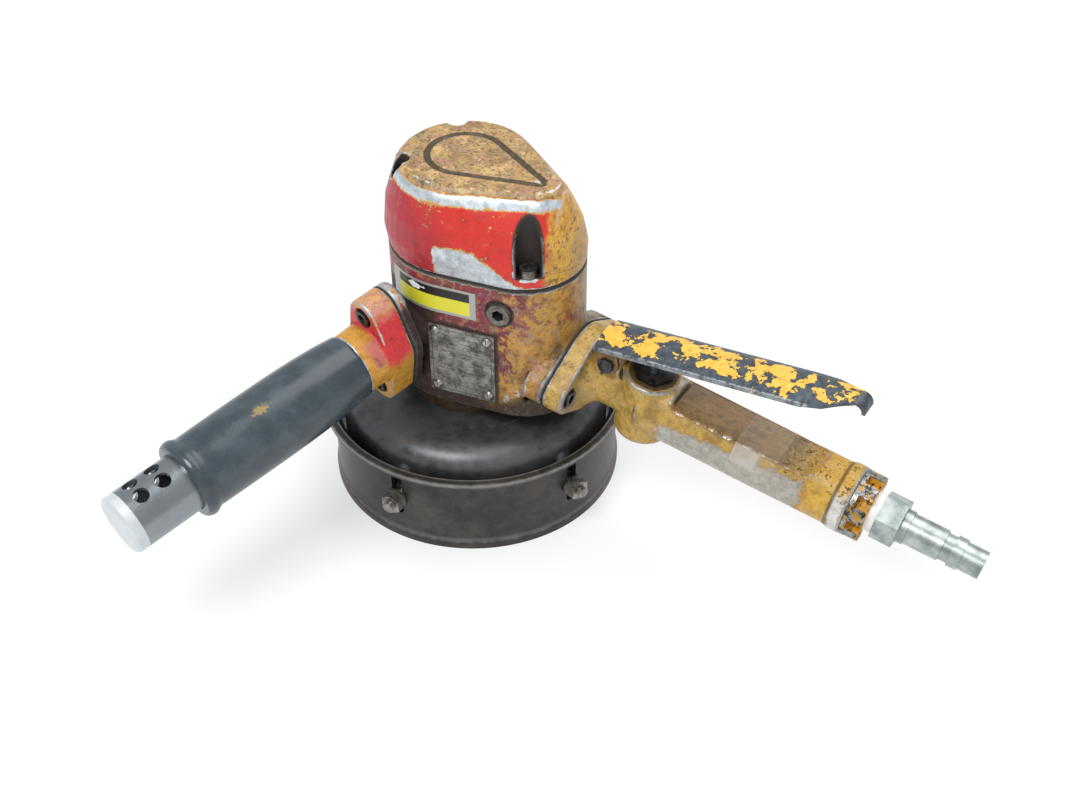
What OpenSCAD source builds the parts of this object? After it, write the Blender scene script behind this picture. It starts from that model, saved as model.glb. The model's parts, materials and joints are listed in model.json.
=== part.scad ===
// Air-powered vertical grinder with a cup-wheel guard, a perforated exhaust handle and a throttle handle.
// Millimetres. The spindle runs along Z and the wheel seats on the plane z = 0.

/* [Body] */
// Radius of the round side of the housing, around the spindle
body_r = 44; // [42:0.5:48]
// Radius of the housing's nose
nose_r = 34; // [30:0.5:36]
// Distance from the spindle to the centre of the nose
nose_reach = 38; // [35:0.5:42]
// Plan angle of the nose, from +X
nose_angle = -40; // [-46:1:-36]
// Height of the housing casting
housing_h = 86; // [82:1:100]
// Radius of the motor bore
bore_r = 30; // [29:0.25:31]
// Thickness of the paper gaskets
gasket_t = 0.6; // [0.4:0.1:1.2]
// Radial clearance of pressed and screwed fits
seat_gap = 0.02; // [0.01:0.01:0.05]
// Radial clearance of running fits
run_gap = 0.05; // [0.03:0.01:0.08]
// Gap between faces that move past each other
clear_gap = 0.3; // [0.2:0.05:0.6]

// Radius of the exhaust passage to the dead handle
exhaust_r = 8; // [6:0.25:8.5]
// Radius of the air passage from the throttle handle
duct_r = 8; // [7:0.25:8.5]
// Radius of the drain hole low on the nose
drain_r = 2; // [1:0.1:2.5]
// Height of the drain hole above the housing's foot
drain_lift = 12.5; // [10:0.5:14]

/* [Cap] */
// Height of the cap
cap_h = 49; // [46:1:60]
// Radius of the round side at the top edge of the cap
cap_top_r = 34; // [30:0.5:38]
// Radius of the nose at the top edge of the cap
cap_tip_r = 11; // [8:0.5:14]
// Distance from the spindle to the centre of the top nose
cap_tip_reach = 48.5; // [44:0.5:52]
// How far the side wall swells beyond the housing
cap_swell = 1.5; // [0.5:0.25:2.5]
// Radius of the governor chamber
chamber_r = 27; // [26.5:0.25:28]
// Radius of the air pocket in the cap's nose
pocket_nose_r = 12; // [10:0.25:12.5]
// Thickness of the cap's top wall
cap_wall = 8.5; // [5:0.5:10]
// Width of the groove on the cap's top face
groove_w = 3.4; // [2:0.2:4]
// Depth of the groove
groove_d = 1.5; // [0.5:0.25:3]
// Radius of the groove's round end
groove_r = 22; // [18:0.5:25]
// How far the nose's screw recesses reach out past their screws
recess_out = 1.75; // [1.4:0.05:2.1]
// Height of the recess floors above the cap's base
recess_lift = 7; // [5:0.5:10]
// Distance from the spindle to the round side's screws
cap_screw_r = 34.5; // [34.25:0.25:36]
// Distance of the nose's cap screws from the nose's edge
nose_screw_in = 4.6; // [4.2:0.1:5.4]
// Angle of those screws from the nose's tip
nose_screw_angle = 48.5; // [45:0.5:52]
// Angle of the round side's screws on each side of the nose
cap_screw_angle = 136; // [130:1:150]

/* [Fasteners] */
// Thread diameter of the socket screws
screw_d = 6; // [5:0.5:6.5]
// Head height of the socket screws
screw_head_h = 5; // [3.5:0.5:6]
// Hex socket across flats
socket_af = 5; // [4:0.5:5.5]
// Thread length of the socket screws
screw_l = 22; // [16:1:24]

/* [Trim] */
// Width of the nameplate
plate_w = 38.5; // [30:0.5:42]
// Height of the nameplate
plate_h = 45; // [36:1:50]
// Thickness of the nameplate
plate_t = 1; // [0.6:0.1:1.5]
// Position of the nameplate along the flat side
plate_y = 13.3; // [10:0.1:16]
// Height of the nameplate's centre above the housing's foot
plate_lift = 31; // [26:0.5:36]
// Head radius of the nameplate screws
rivet_r = 2.6; // [1.5:0.1:3]
// Inset of the nameplate screws from the plate's edges
rivet_inset = 4; // [3.2:0.1:6]
// Thread length of the nameplate screws
rivet_l = 3.5; // [2:0.25:5]
// Height of the sticker
sticker_h = 17.5; // [12:0.5:20]
// Distance from the sticker's top to the housing's top
sticker_drop = 6.5; // [3:0.5:10]
// Thickness of the sticker
sticker_t = 0.25; // [0.15:0.05:0.5]
// Where the sticker ends on the flat side
sticker_y = 22.5; // [14:0.5:26]
// Angle the sticker wraps around the round side
sticker_wrap = 43; // [20:1:60]
// Head radius of the oil plug
oil_r = 7; // [6:0.25:9]
// Head thickness of the oil plug
oil_t = 2; // [1:0.25:4]
// Thread radius of the oil plug
oil_thread_r = 6; // [4:0.25:6.5]
// Thread length of the oil plug
oil_l = 10; // [6:0.5:12]
// Position of the oil plug along the flat side
oil_y = 35.7; // [34:0.1:38]
// Distance from the oil plug down from the housing's top
oil_drop = 16; // [13:0.5:24]

/* [Motor] */
// Height of the spigot inside the housing
spigot_h = 12; // [10:0.5:14]
// Thickness of the lower end plate
lower_plate_t = 8; // [6:0.5:10]
// Wall left under the upper bearing
upper_lip = 3.5; // [2.5:0.25:5]
// Depth of the cap's spigot in the bore
cap_spigot_h = 4; // [3:0.25:6]
// Radius of the rotor
rotor_r = 23; // [22:0.25:23.25]
// How far the cylinder bore is off the spindle's axis
bore_offset = 2.2; // [1.5:0.1:2.4]
// Number of vanes
vane_n = 5; // [4:1:6]
// Thickness of a vane
vane_t = 3; // [2:0.25:4]
// Radial width of a vane
vane_w = 10; // [7:0.5:11]
// Radius of the dowel pin
dowel_r = 1.5; // [1:0.1:1.8]

/* [Spindle] */
// Thread radius of the spindle, five eighths of an inch across
thread_r = 7.94; // [7.5:0.02:8.2]
// Thread length below the wheel seat
thread_l = 24; // [16:1:28]
// Radius of the lower bearing seat
spindle_r = 8.5; // [8.5:0.25:9]
// Radius of the shoulder that the wheel flange bears on
shoulder_r = 11; // [10:0.25:11.25]
// Radius of the upper journal
journal_r = 6; // [5.5:0.25:6.5]
// Radius of the wheel flange
flange_r = 22; // [18:0.5:24]
// Thickness of the wheel flange
flange_t = 7; // [5:0.5:9]

/* [Bearings] */
// Outside diameter of the lower bearing
lower_od = 40; // [38:0.5:42]
// Width of the lower bearing
lower_w = 12; // [10:0.5:12]
// Outside diameter of the upper bearing
upper_od = 32; // [30:0.5:34]
// Width of the upper bearing
upper_w = 10; // [8:0.5:11]
// Number of balls in each bearing
ball_n = 8; // [7:1:8]
// Height of the lip that holds the felt seal
seal_h = 4; // [3:0.25:5]
// Height of the threaded ring that holds the lower bearing
retainer_h = 4; // [3:0.25:6]
// Height of the nut on the upper journal
nut_h = 5; // [4:0.25:6]

/* [Governor] */
// Radius of the governor cage
cage_r = 25; // [24:0.25:26]
// Wall of the governor cage
cage_wall = 2; // [1.5:0.1:2.5]
// Inside height of the governor cage
cage_h = 28; // [26:0.5:32]
// Distance from the spindle to the weight pivots
weight_pivot_r = 13; // [12:0.25:14]
// Height of the weight pivots above the cage floor
weight_pivot_h = 8; // [7:0.25:9]
// Height of a weight above its pivot
weight_h = 16; // [12:0.5:17]
// Radial thickness of a weight
weight_t = 7; // [5:0.25:7]
// Half width of a weight
weight_half = 8.5; // [6:0.25:9]
// Radius of the pivot pins
weight_pin_r = 1.5; // [1:0.1:1.7]
// Radius of the governor stem
stem_r = 2.5; // [2:0.1:3]
// Radius of the stem's collar
collar_r = 8; // [7:0.25:9]

/* [Guard] */
// Radius of the guard dome
dome_r = 78.3; // [76:0.1:80]
// Thickness of the guard dome's sheet
dome_t = 3; // [2:0.25:4]
// Height of the dome's underside above the wheel seat
dome_lift = 23; // [21:0.5:28]
// Height of the dome from its top to its edge
dome_h = 49; // [44:0.5:50]
// Shoulder radius of the dome
dome_bend = 14; // [8:0.5:18]
// Height of the neck between guard and housing
neck_h = 12; // [8:0.5:16]
// Radius of the neck
neck_r = 38; // [36:0.5:42]
// Circle radius of the screws that hold the dome
guard_screw_r = 29.5; // [28.5:0.25:31]
// Number of screws that hold the dome
guard_screw_n = 4; // [3:1:6]
// Gap between the dome's side and the adjustable skirt
skirt_gap = 3; // [2.4:0.1:5]
// Wall of the skirt
skirt_t = 3; // [2:0.25:4]
// Height of the skirt
skirt_h = 53.5; // [50:0.5:58]
// How far the skirt reaches below the wheel seat
skirt_reach = 36; // [34:0.5:40]
// Width of the turned-out lip at the skirt's top
lip_w = 5.7; // [3:0.1:7]
// Thickness of the lip
lip_t = 3.2; // [2:0.1:5]
// Height of the bead at the skirt's foot
bead_h = 7; // [4:0.25:9]
// How far the bead stands out
bead_w = 1.4; // [0.5:0.1:2]
// Number of skirt bolts
bolt_n = 5; // [3:1:6]
// Plan angle of the first skirt bolt
bolt_angle = -51.5; // [-60:0.5:-45]
// Thread radius of the skirt bolts
bolt_r = 3.175; // [2.5:0.025:3.5]
// Hex size of the skirt bolts and nuts, across flats
bolt_af = 11.1; // [10:0.1:12.7]
// Distance from the skirt's foot to the bolts
bolt_lift = 29; // [27:0.5:31]
// Length of the slots in the skirt
slot_l = 31; // [27:0.5:31.5]
// Distance from the skirt's foot to the slots' middle
slot_lift = 32.5; // [31.5:0.5:33]

/* [Handles] */
// How far both handles droop
handle_droop = 8; // [4:0.5:10]
// Plan angle of the dead handle, from +X
dead_angle = -140; // [-146:1:-134]
// Height where the dead handle's axis meets the spindle's axis
dead_z = 90; // [84:0.5:94]
// Distance from the spindle to the dead handle's joint
dead_joint = 57; // [54:0.5:62]
// Radius of the dead handle's flange at its middle
dead_flange_r = 18.4; // [18.4:0.2:20]
// Radius of the flange's screw lobes, above and below
dead_lobe_r = 11.5; // [11:0.25:12.5]
// Distance of the lobes' centres from the handle's axis
dead_lobe_reach = 23; // [22:0.25:24]
// Thickness of the dead handle's flange
dead_flange_t = 15.4; // [13:0.2:18]
// Thickness of the housing's lip that the flange bolts to
dead_lip = 6; // [5:0.5:8]
// Length of the painted neck beyond the flange
dead_neck_l = 14.5; // [10:0.5:15]
// Radius of the neck
dead_neck_r = 17.6; // [17.4:0.1:17.8]
// Distance of the dead flange's screws from the handle's axis
dead_screw_r = 24.5; // [24.3:0.1:25]
// Outside radius of the exhaust tube
tube_r = 16.4; // [15.5:0.1:16.6]
// Wall of the exhaust tube
tube_t = 2.6; // [1.5:0.1:3]
// Length of the exhaust tube
tube_l = 161; // [155:1:176]
// Depth of the tube in the flange
tube_seat = 19; // [14:0.5:22]
// Radius of the exhaust holes
vent_r = 4.2; // [3:0.1:4.4]
// Number of exhaust holes in a row round the tube
vent_n = 5; // [2:1:7]
// Angle between the exhaust holes of a row
vent_turn = 38; // [37:0.5:45]
// Distance from the tube's end to the outer row of holes
vent_inset = 8.5; // [8.25:0.25:11]
// Distance between the rows of holes
vent_pitch = 13; // [11:0.5:15]
// Length of the rubber grip
grip_l = 109.5; // [90:0.5:110.5]
// Radius of the grip at its body end
grip_root_r = 18.5; // [18.2:0.1:19.5]
// Radius of the grip at its middle
grip_r = 20.8; // [20:0.1:22]
// Radius of the bead at the grip's outer end
grip_bead_r = 22.4; // [22:0.1:24]
// Length of the grip's bead
grip_bead_l = 6; // [4:0.5:10]
// Length of the end cap beyond the tube
end_cap_l = 6.5; // [4:0.5:10]

/* [Throttle] */
// Plan angle of the throttle handle, from +X
throttle_angle = -35; // [-39:1:-31]
// Height where the throttle handle's axis meets the spindle's axis
throttle_z = 72; // [70:0.5:76]
// Distance from the spindle to the throttle handle's joint
throttle_joint = 70; // [69:0.5:76]
// Radius of the throttle flange
throttle_flange_r = 25; // [22:0.25:26]
// Radius of the flange's screw lobes
lobe_r = 10; // [9:0.25:11]
// Distance of the throttle flange's screws from the handle's axis
lobe_reach = 28.5; // [27:0.25:30]
// Thickness of the housing's lip that the throttle handle bolts to
throttle_lip = 12; // [11:0.5:16]
// Thickness of the throttle flange
throttle_flange_t = 12; // [10:0.5:14]
// Radius of the handle's neck
neck_bar_r = 14.5; // [14:0.25:16]
// Distance from the joint to the valve boss
boss_x = 46; // [44:0.5:50]
// Radius of the valve boss
boss_r = 16; // [14.5:0.25:17]
// Height of the boss above the handle's axis
boss_top = 18; // [16:0.5:20]
// Depth of the boss below the handle's axis
boss_foot = 25; // [22:0.5:27]
// Radius of the grip at the boss end
bar_root_r = 18.7; // [18:0.1:20]
// Radius of the grip at its outer end
bar_end_r = 18; // [17:0.1:19]
// Length from the joint to the end of the throttle handle
bar_l = 170; // [164:1:184]
// Length of the collar at the handle's end
bar_collar_l = 8; // [5:0.5:12]
// Radius of the collar
bar_collar_r = 19; // [18:0.1:20]
// Radius of the air passage
passage_r = 9.5; // [7:0.25:10.5]
// Height of the flat along the grip's top above the handle's axis
flat_h = 12.7; // [12:0.1:15]
// Distance from the joint to the tape band
tape_x = 104; // [85:1:110]
// Width of the tape band
tape_w = 24; // [10:1:30]
// Thickness of the tape
tape_t = 0.3; // [0.2:0.05:0.6]

/* [Lever] */
// Distance from the joint to the lever's pivot
pivot_x = 23.5; // [22:0.5:25]
// Height of the pivot above the handle's axis
pivot_h = 20; // [19.5:0.25:23]
// Radius of the pivot pin
pin_r = 3; // [2:0.1:3.5]
// Width of the lug that carries the pin
lug_w = 19.4; // [16:0.2:20]
// Radius of the lug and of the lever's ears
ear_r = 6.5; // [5.5:0.25:7]
// Thickness of the lever's ears
ear_t = 2.5; // [2:0.1:3.5]
// Angle of the lever above the handle at rest
lever_rest = 14; // [13:0.5:16]
// Length of the lever from its pivot
lever_l = 143; // [120:1:148]
// Width of the lever
lever_w = 28; // [27:0.5:32]
// Sheet thickness of the lever
lever_t = 2; // [1.5:0.1:3]
// Height of the lever's crown above its pivot
lever_crown = 14; // [13:0.25:16]
// How far the lever's edges drop below its crown
lever_sag = 3.5; // [2:0.25:4.5]
// Width of the lever's hooked tip
tip_w = 11; // [8:0.5:14]
// Length of the stretch that narrows to the tip
taper_l = 26; // [18:1:36]
// Radius of the hook at the tip
hook_r = 6; // [4:0.5:8]

/* [Valve] */
// Radius of the valve bore in the boss
valve_bore_r = 9; // [8.5:0.1:9.5]
// Radius of the plunger
plunger_r = 3; // [2.5:0.1:3.5]
// Radius of the valve disc
valve_r = 7; // [6.25:0.1:7.5]
// Radius of the hole in the valve seat
port_r = 5; // [4:0.1:5.5]
// Height of the seat's underside above the handle's axis
seat_lift = 2; // [1:0.25:3]
// Thickness of the valve seat
seat_t = 4; // [3:0.25:4.5]
// Length of the bushing's thread
bushing_l = 8; // [6:0.5:9]
// Thickness of the bushing's flange
bushing_t = 2; // [1:0.25:2.5]
// Thickness of the plug under the spring
valve_cap_t = 7; // [5:0.5:8]
// Wire radius of the springs
wire_r = 0.6; // [0.4:0.05:0.7]
// Turns of each spring
spring_n = 5; // [4:1:6]

/* [Air inlet] */
// Radius of the bushing's thread
inlet_r = 14; // [12.5:0.25:15]
// Depth of the bushing in the handle
inlet_depth = 22; // [14:0.5:24]
// Length of the notched ring
ring_l = 10; // [7:0.5:14]
// Radius of the notched ring
ring_r = 18.6; // [17:0.1:19]
// Number of notches
notch_n = 8; // [6:1:9]
// Width of a notch
notch_w = 6.5; // [4:0.25:7]
// Depth of a notch
notch_d = 7.5; // [4:0.25:8]
// Thread radius of the air plug
plug_thread_r = 10; // [9.2:0.1:10.5]
// Gap between ring and hex, wrapped in tape
plug_gap = 4.5; // [2:0.25:8]
// Hex of the air plug, across flats
plug_af = 23.8; // [22:0.1:27]
// Length of the hex
plug_hex_l = 12.5; // [8:0.5:16]
// Radius of the plug's body
plug_r = 8.6; // [8.2:0.1:9]
// Length of the plug's body
plug_l = 23; // [16:0.5:28]
// Radius of the plug's nose
plug_nose_r = 7.7; // [7:0.1:8]
// Length of the nose beyond the locking ring
plug_nose_l = 11.5; // [9:0.5:16]
// Radius of the air hole through the plug
plug_bore_r = 5; // [3:0.1:5.5]

/* [Hidden] */
$fn = 96;

eps = 0.01;
flank_in = 0.02;
red = [0.62, 0.10, 0.12];
yellow = [0.85, 0.60, 0.15];
steel = [0.55, 0.56, 0.58];
dark_steel = [0.25, 0.25, 0.26];
bright = [0.80, 0.81, 0.82];
paper = [0.35, 0.30, 0.25];
rubber = [0.10, 0.11, 0.14];

// Heights of the stack along the spindle
skirt_z = -skirt_reach;
bolt_z = skirt_z + bolt_lift;
neck_z = dome_lift + dome_t;
house_z = neck_z + neck_h;
house_top = house_z + housing_h;
cap_z = house_top + gasket_t;
cap_top = cap_z + cap_h;
lower_z = neck_z + seal_h;
lower_plate_z = house_z + spigot_h;
cylinder_z = lower_plate_z + lower_plate_t;
upper_plate_h = upper_lip + upper_w + clear_gap;
upper_plate_z = house_top - cap_spigot_h - upper_plate_h;
cylinder_h = upper_plate_z - cylinder_z;
upper_z = upper_plate_z + upper_lip;
nut_z = upper_z + upper_w;
cage_z = nut_z + nut_h + clear_gap;
cage_floor = cage_z + 3;
cage_top = cage_floor + cage_h;
pivot_z = cage_floor + weight_pivot_h;

// Shapes that follow from the sizes above
flat_lean = asin((body_r - nose_r) / nose_reach);
flat_angle = nose_angle - 90 + flat_lean;
liner_r = bore_r - seat_gap;
liner_bore = rotor_r + bore_offset + clear_gap;
air_slot = exhaust_r / 2;
dowel_at = (liner_r + liner_bore - bore_offset) / 2;
seal_pocket_r = shoulder_r + 5;
toe_l = weight_pivot_r - stem_r - 3;
toe_t = 3;
weight_lug_t = 2.5;
weight_lug_y = weight_half + clear_gap + weight_lug_t / 2;
collar_z = pivot_z + toe_t / 2 + clear_gap;
collar_t = 2.5;
stem_depth = 9;
head_r = 0.79 * screw_d;
pocket_r = head_r + 1;
recess_r = head_r + clear_gap + recess_out;
screw_bite = 9;
riser_at = nose_reach + duct_r;
spot_gap = 1;
skirt_in_r = dome_r + skirt_gap;
skirt_out_r = skirt_in_r + skirt_t;
washer_t = 1.6;
nut_t = 5.5;
bolt_head_t = 4.3;
washer_x = skirt_out_r + clear_gap;
nut_x = washer_x + washer_t;
bolt_head_x = sqrt(pow(dome_r - dome_t, 2) - pow(bolt_af * 0.58, 2)) - run_gap;
tube_x = dead_joint + gasket_t + dead_flange_t + dead_neck_l - tube_seat;
tube_end = tube_x + tube_l;
grip_x = tube_x + tube_seat;
cap_plug_l = 4;
bar_x = throttle_joint + gasket_t;
bar_end = throttle_joint + bar_l;
collar_x = bar_end - bar_collar_l;
boss_at = throttle_joint + boss_x;
pivot_at = throttle_joint + pivot_x;
arch_r = (pow(lever_w / 2, 2) + lever_sag * lever_sag) / (2 * lever_sag);
plunger_top = pivot_h + (boss_at - pivot_at) * tan(lever_rest)
    + (lever_crown - lever_t) / cos(lever_rest) - clear_gap - plunger_r * sin(lever_rest);
bushing_z = boss_top - bushing_l;
spring_foot = -boss_foot + valve_cap_t;
valve_t = 2.7;
valve_foot = seat_lift - clear_gap - valve_t;
inlet_x = bar_end - inlet_depth;
hex_x = bar_end + ring_l + plug_gap;
shank_x = hex_x + plug_hex_l;
groove_l = 5;
lock_l = 5.5;
lock_x = shank_x + plug_l + groove_l;
plug_end = lock_x + lock_l + plug_nose_l;

// A bar along X, straight or tapered
module bar(x0, x1, r0, r1 = undef) {
    translate([x0, 0, 0])
        rotate([0, 90, 0])
            cylinder(h = x1 - x0, r1 = r0, r2 = is_undef(r1) ? r0 : r1);
}

// A hexagonal bar along Z
module hex_bar(across, h) {
    cylinder(h = h, r = across / 2 / cos(30), $fn = 6);
}

// A flat ring along Z
module ring(r_out, r_in, h) {
    difference() {
        cylinder(h = h, r = r_out);
        translate([0, 0, -eps]) cylinder(h = h + 2 * eps, r = r_in);
    }
}

// Where a flank meets a circle of radius r, on the way to the tip (1) or to the root (-1)
function flank_end(r, lean, way) =
    (r - flank_in) * [sin(lean), cos(lean)]
    + way * sqrt(flank_in * (2 * r - flank_in)) * [cos(lean), -sin(lean)];

// Tip of an outline, h high: a small round and the two flanks that lead to it from the big one
module horn(h, big_r, small_r, reach) {
    lean = asin((big_r - small_r) / reach);
    root = flank_end(big_r, lean, 1);
    tip = [reach, 0] + flank_end(small_r, lean, -1);
    translate([reach, 0, 0]) cylinder(h = h, r = small_r);
    linear_extrude(h) polygon([root, tip, [tip[0], -tip[1]], [root[0], -root[1]]]);
}

// A big round, a small one and their flanks, h high, from the origin along X
module teardrop(h, big_r, small_r, reach) {
    cylinder(h = h, r = big_r);
    horn(h, big_r, small_r, reach);
}

// Socket screw whose head stands on z = 0 with its thread below
module socket_screw(length) {
    difference() {
        union() {
            cylinder(h = screw_head_h, r = head_r);
            translate([0, 0, -length]) cylinder(h = length + eps, r = screw_d / 2 - seat_gap);
        }
        translate([0, 0, screw_head_h * 0.4]) hex_bar(socket_af, screw_head_h);
    }
}

// A coil spring along Z, as one swept wire
module coil_spring(radius, length, turns, wire) {
    steps = turns * 12;
    sides = 6;
    rise = length - 2 * wire;
    points = [for (i = [0 : steps], j = [0 : sides - 1])
        let (turn = 360 * turns * i / steps, out = radius + wire * cos(360 * j / sides))
        [out * cos(turn), out * sin(turn), wire + rise * i / steps + wire * sin(360 * j / sides)]];
    quads = [for (i = [0 : steps - 1], j = [0 : sides - 1])
        let (a = i * sides + j, b = i * sides + (j + 1) % sides)
        [a, b, b + sides, a + sides]];
    sides_a = [for (q = quads) [q[0], q[2], q[1]]];
    sides_b = [for (q = quads) [q[0], q[3], q[2]]];
    start = [for (j = [1 : sides - 2]) [0, j, j + 1]];
    end = [for (j = [1 : sides - 2]) [steps * sides, steps * sides + j + 1, steps * sides + j]];
    polyhedron(points = points, faces = concat(sides_a, sides_b, start, end));
}

// Places children on the handles' own axes, X outward
module on_dead() {
    translate([0, 0, dead_z]) rotate([0, 0, dead_angle]) rotate([0, handle_droop, 0]) children();
}

module on_throttle() {
    translate([0, 0, throttle_z]) rotate([0, 0, throttle_angle]) rotate([0, handle_droop, 0]) children();
}

// Places children on the housing's flat side, Z outward
module on_flat(y, z) {
    rotate([0, 0, flat_angle]) translate([body_r, y, z]) rotate([0, 90, 0]) children();
}

// Places children at each nameplate screw, Z outward
module at_rivets() {
    across = plate_w / 2 - rivet_inset;
    upright = plate_h / 2 - rivet_inset;
    for (y = [-1, 1], z = [-1, 1])
        on_flat(plate_y + y * across, house_z + plate_lift + z * upright) children();
}

// Places children at each cap screw in the nose, on the round side and at both
module at_nose_screws() {
    rotate([0, 0, nose_angle])
        translate([nose_reach, 0, 0])
            for (side = [-1, 1])
                rotate([0, 0, side * nose_screw_angle]) translate([nose_r - nose_screw_in, 0, 0]) children();
}

module at_round_screws() {
    for (side = [-1, 1])
        rotate([0, 0, nose_angle + side * cap_screw_angle]) translate([cap_screw_r, 0, 0]) children();
}

module at_cap_screws() {
    at_nose_screws() children();
    at_round_screws() children();
}

// Places children at each dead flange screw, Z outward
module at_dead_screws(x) {
    on_dead()
        for (side = [0, 180])
            rotate([side, 0, 0]) translate([x, 0, dead_screw_r]) rotate([0, 90, 0]) children();
}

// Places children at each throttle flange screw, Z outward
module at_throttle_screws(x) {
    on_throttle()
        for (side = [-1, 1])
            translate([x, side * lobe_reach, 0]) rotate([0, 90, 0]) children();
}

// Places children at each skirt bolt, X outward
module at_bolts() {
    for (i = [0 : bolt_n - 1])
        rotate([0, 0, bolt_angle + 360 * i / bolt_n]) translate([0, 0, bolt_z]) children();
}

// A flange along X from x0 to x1, with one screw lobe on each side
module oval_bar(x0, x1, middle_r, end_r, reach, turn) {
    translate([x0, 0, 0])
        rotate([0, 90, 0]) {
            cylinder(h = x1 - x0, r = middle_r);
            for (side = [turn, turn + 180])
                rotate(side) horn(x1 - x0, middle_r, end_r, reach);
        }
}

module dead_oval(x0, x1) {
    oval_bar(x0, x1, dead_flange_r, dead_lobe_r, dead_lobe_reach, 0);
}

module throttle_oval(x0, x1) {
    oval_bar(x0, x1, throttle_flange_r, lobe_r, lobe_reach, 90);
}

// Cast housing with the motor bore, both handle bosses and the air passages
module motor_housing() color(red) {
    difference() {
        union() {
            translate([0, 0, house_z])
                rotate(nose_angle) teardrop(housing_h, body_r, nose_r, nose_reach);
            on_dead() {
                bar(bore_r, dead_joint - 1, exhaust_r + 4);
                dead_oval(dead_joint - dead_lip, dead_joint);
            }
            on_throttle() throttle_oval(throttle_joint - throttle_lip, throttle_joint);
        }
        translate([0, 0, house_z - eps]) cylinder(h = housing_h + 2 * eps, r = bore_r);
        on_dead() bar(bore_r - exhaust_r, dead_joint + eps, exhaust_r);
        on_throttle() {
            bar(riser_at, throttle_joint + eps, duct_r);
            oval_bar(throttle_joint, throttle_joint + nose_r, throttle_flange_r + spot_gap, lobe_r + spot_gap,
                lobe_reach, 90);
        }
        rotate([0, 0, nose_angle])
            translate([riser_at, 0, throttle_z - 2 * duct_r])
                cylinder(h = house_top - throttle_z + 3 * duct_r, r = duct_r - 1);
        translate([0, 0, cap_z + recess_lift - screw_l - 2])
            at_cap_screws() cylinder(h = screw_l, r = screw_d / 2);
        at_dead_screws(dead_joint - dead_lip + 0.5) cylinder(h = dead_lip, r = screw_d / 2);
        at_throttle_screws(throttle_joint - screw_bite - 1) cylinder(h = screw_bite + 2, r = screw_d / 2);
        on_flat(oil_y, house_top - oil_drop)
            translate([0, 0, -oil_l - 1]) cylinder(h = oil_l + 2, r = oil_thread_r);
        at_rivets() translate([0, 0, -rivet_l - 0.5]) cylinder(h = rivet_l + 1, r = rivet_r / 2);
        rotate([0, 0, nose_angle])
            translate([nose_reach, 0, house_z + drain_lift])
                rotate([0, 0, -52]) bar(nose_r / 2, nose_r + 1, drain_r);
    }
}

// One level of the cap's outside
module cap_level(z, big_r, small_r, reach) {
    translate([0, 0, z]) cylinder(h = eps, r = big_r, $fn = 40);
    translate([reach, 0, z]) cylinder(h = eps, r = small_r, $fn = 40);
}

// Cast cap over the governor, with screw recesses and a grooved top
module housing_cap() color(red) {
    translate([0, 0, cap_z])
        difference() {
            union() {
                rotate([0, 0, nose_angle])
                    hull() {
                        cap_level(0, body_r, nose_r, nose_reach);
                        cap_level(cap_h * 0.22, body_r + cap_swell, nose_r + cap_swell / 3, nose_reach);
                        cap_level(cap_h * 0.52, body_r, nose_r - 4, nose_reach + 2);
                        cap_level(cap_h * 0.9, cap_top_r + 4, cap_tip_r + 4, cap_tip_reach);
                        cap_level(cap_h - eps, cap_top_r, cap_tip_r, cap_tip_reach);
                    }
                translate([0, 0, clear_gap - gasket_t - cap_spigot_h])
                    cylinder(h = cap_spigot_h + gasket_t, r = bore_r - clear_gap);
            }
            translate([0, 0, -gasket_t - cap_spigot_h])
                cylinder(h = cap_h + cap_spigot_h + gasket_t - cap_wall, r = chamber_r);
            rotate([0, 0, nose_angle])
                translate([nose_reach, 0, -eps]) cylinder(h = cap_h / 2, r = pocket_nose_r);
            translate([0, 0, recess_lift]) {
                at_nose_screws() translate([recess_out, 0, 0]) cylinder(h = cap_h, r = recess_r);
                at_round_screws() cylinder(h = cap_h, r = head_r + clear_gap);
            }
            translate([0, 0, -eps]) at_cap_screws() cylinder(h = cap_h, r = screw_d / 2);
            translate([0, 0, cap_h - groove_d])
                rotate([0, 0, nose_angle])
                    difference() {
                        teardrop(groove_d + 1, groove_r, groove_w + 1, cap_tip_reach);
                        translate([0, 0, -eps])
                            teardrop(groove_d + 1 + 2 * eps, groove_r - groove_w, 1, cap_tip_reach);
                    }
        }
}

// Paper gasket between housing and cap
module cap_gasket() color(paper) {
    translate([0, 0, house_top])
        difference() {
            rotate(nose_angle) teardrop(gasket_t, body_r, nose_r, nose_reach);
            translate([0, 0, -1]) {
                cylinder(h = gasket_t + 2, r = bore_r);
                rotate(nose_angle)
                    translate([nose_reach, 0, 0]) cylinder(h = gasket_t + 2, r = pocket_nose_r);
                at_cap_screws() cylinder(h = gasket_t + 2, r = screw_d / 2);
            }
        }
}

// Socket screws that hold the cap
module cap_screws() color(dark_steel) {
    translate([0, 0, cap_z + recess_lift]) at_cap_screws() socket_screw(screw_l);
}

// Socket-headed oil filler plug
module oil_plug() color(steel) {
    on_flat(oil_y, house_top - oil_drop)
        difference() {
            union() {
                translate([0, 0, seat_gap]) cylinder(h = oil_t, r1 = oil_r, r2 = oil_r - oil_t / 3);
                translate([0, 0, -oil_l]) cylinder(h = oil_l + 2 * seat_gap, r = oil_thread_r - seat_gap);
            }
            translate([0, 0, -oil_l / 2]) hex_bar(oil_thread_r, oil_l);
        }
}

// Blank metal nameplate
module nameplate() color(bright) {
    on_flat(plate_y, house_z + plate_lift)
        difference() {
            translate([-plate_h / 2, -plate_w / 2, 0]) cube([plate_h, plate_w, plate_t]);
            for (y = [-1, 1], z = [-1, 1])
                translate([z * (plate_h / 2 - rivet_inset), y * (plate_w / 2 - rivet_inset), -eps])
                    cylinder(h = plate_t + 2 * eps, r = rivet_r / 2);
        }
}

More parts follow.
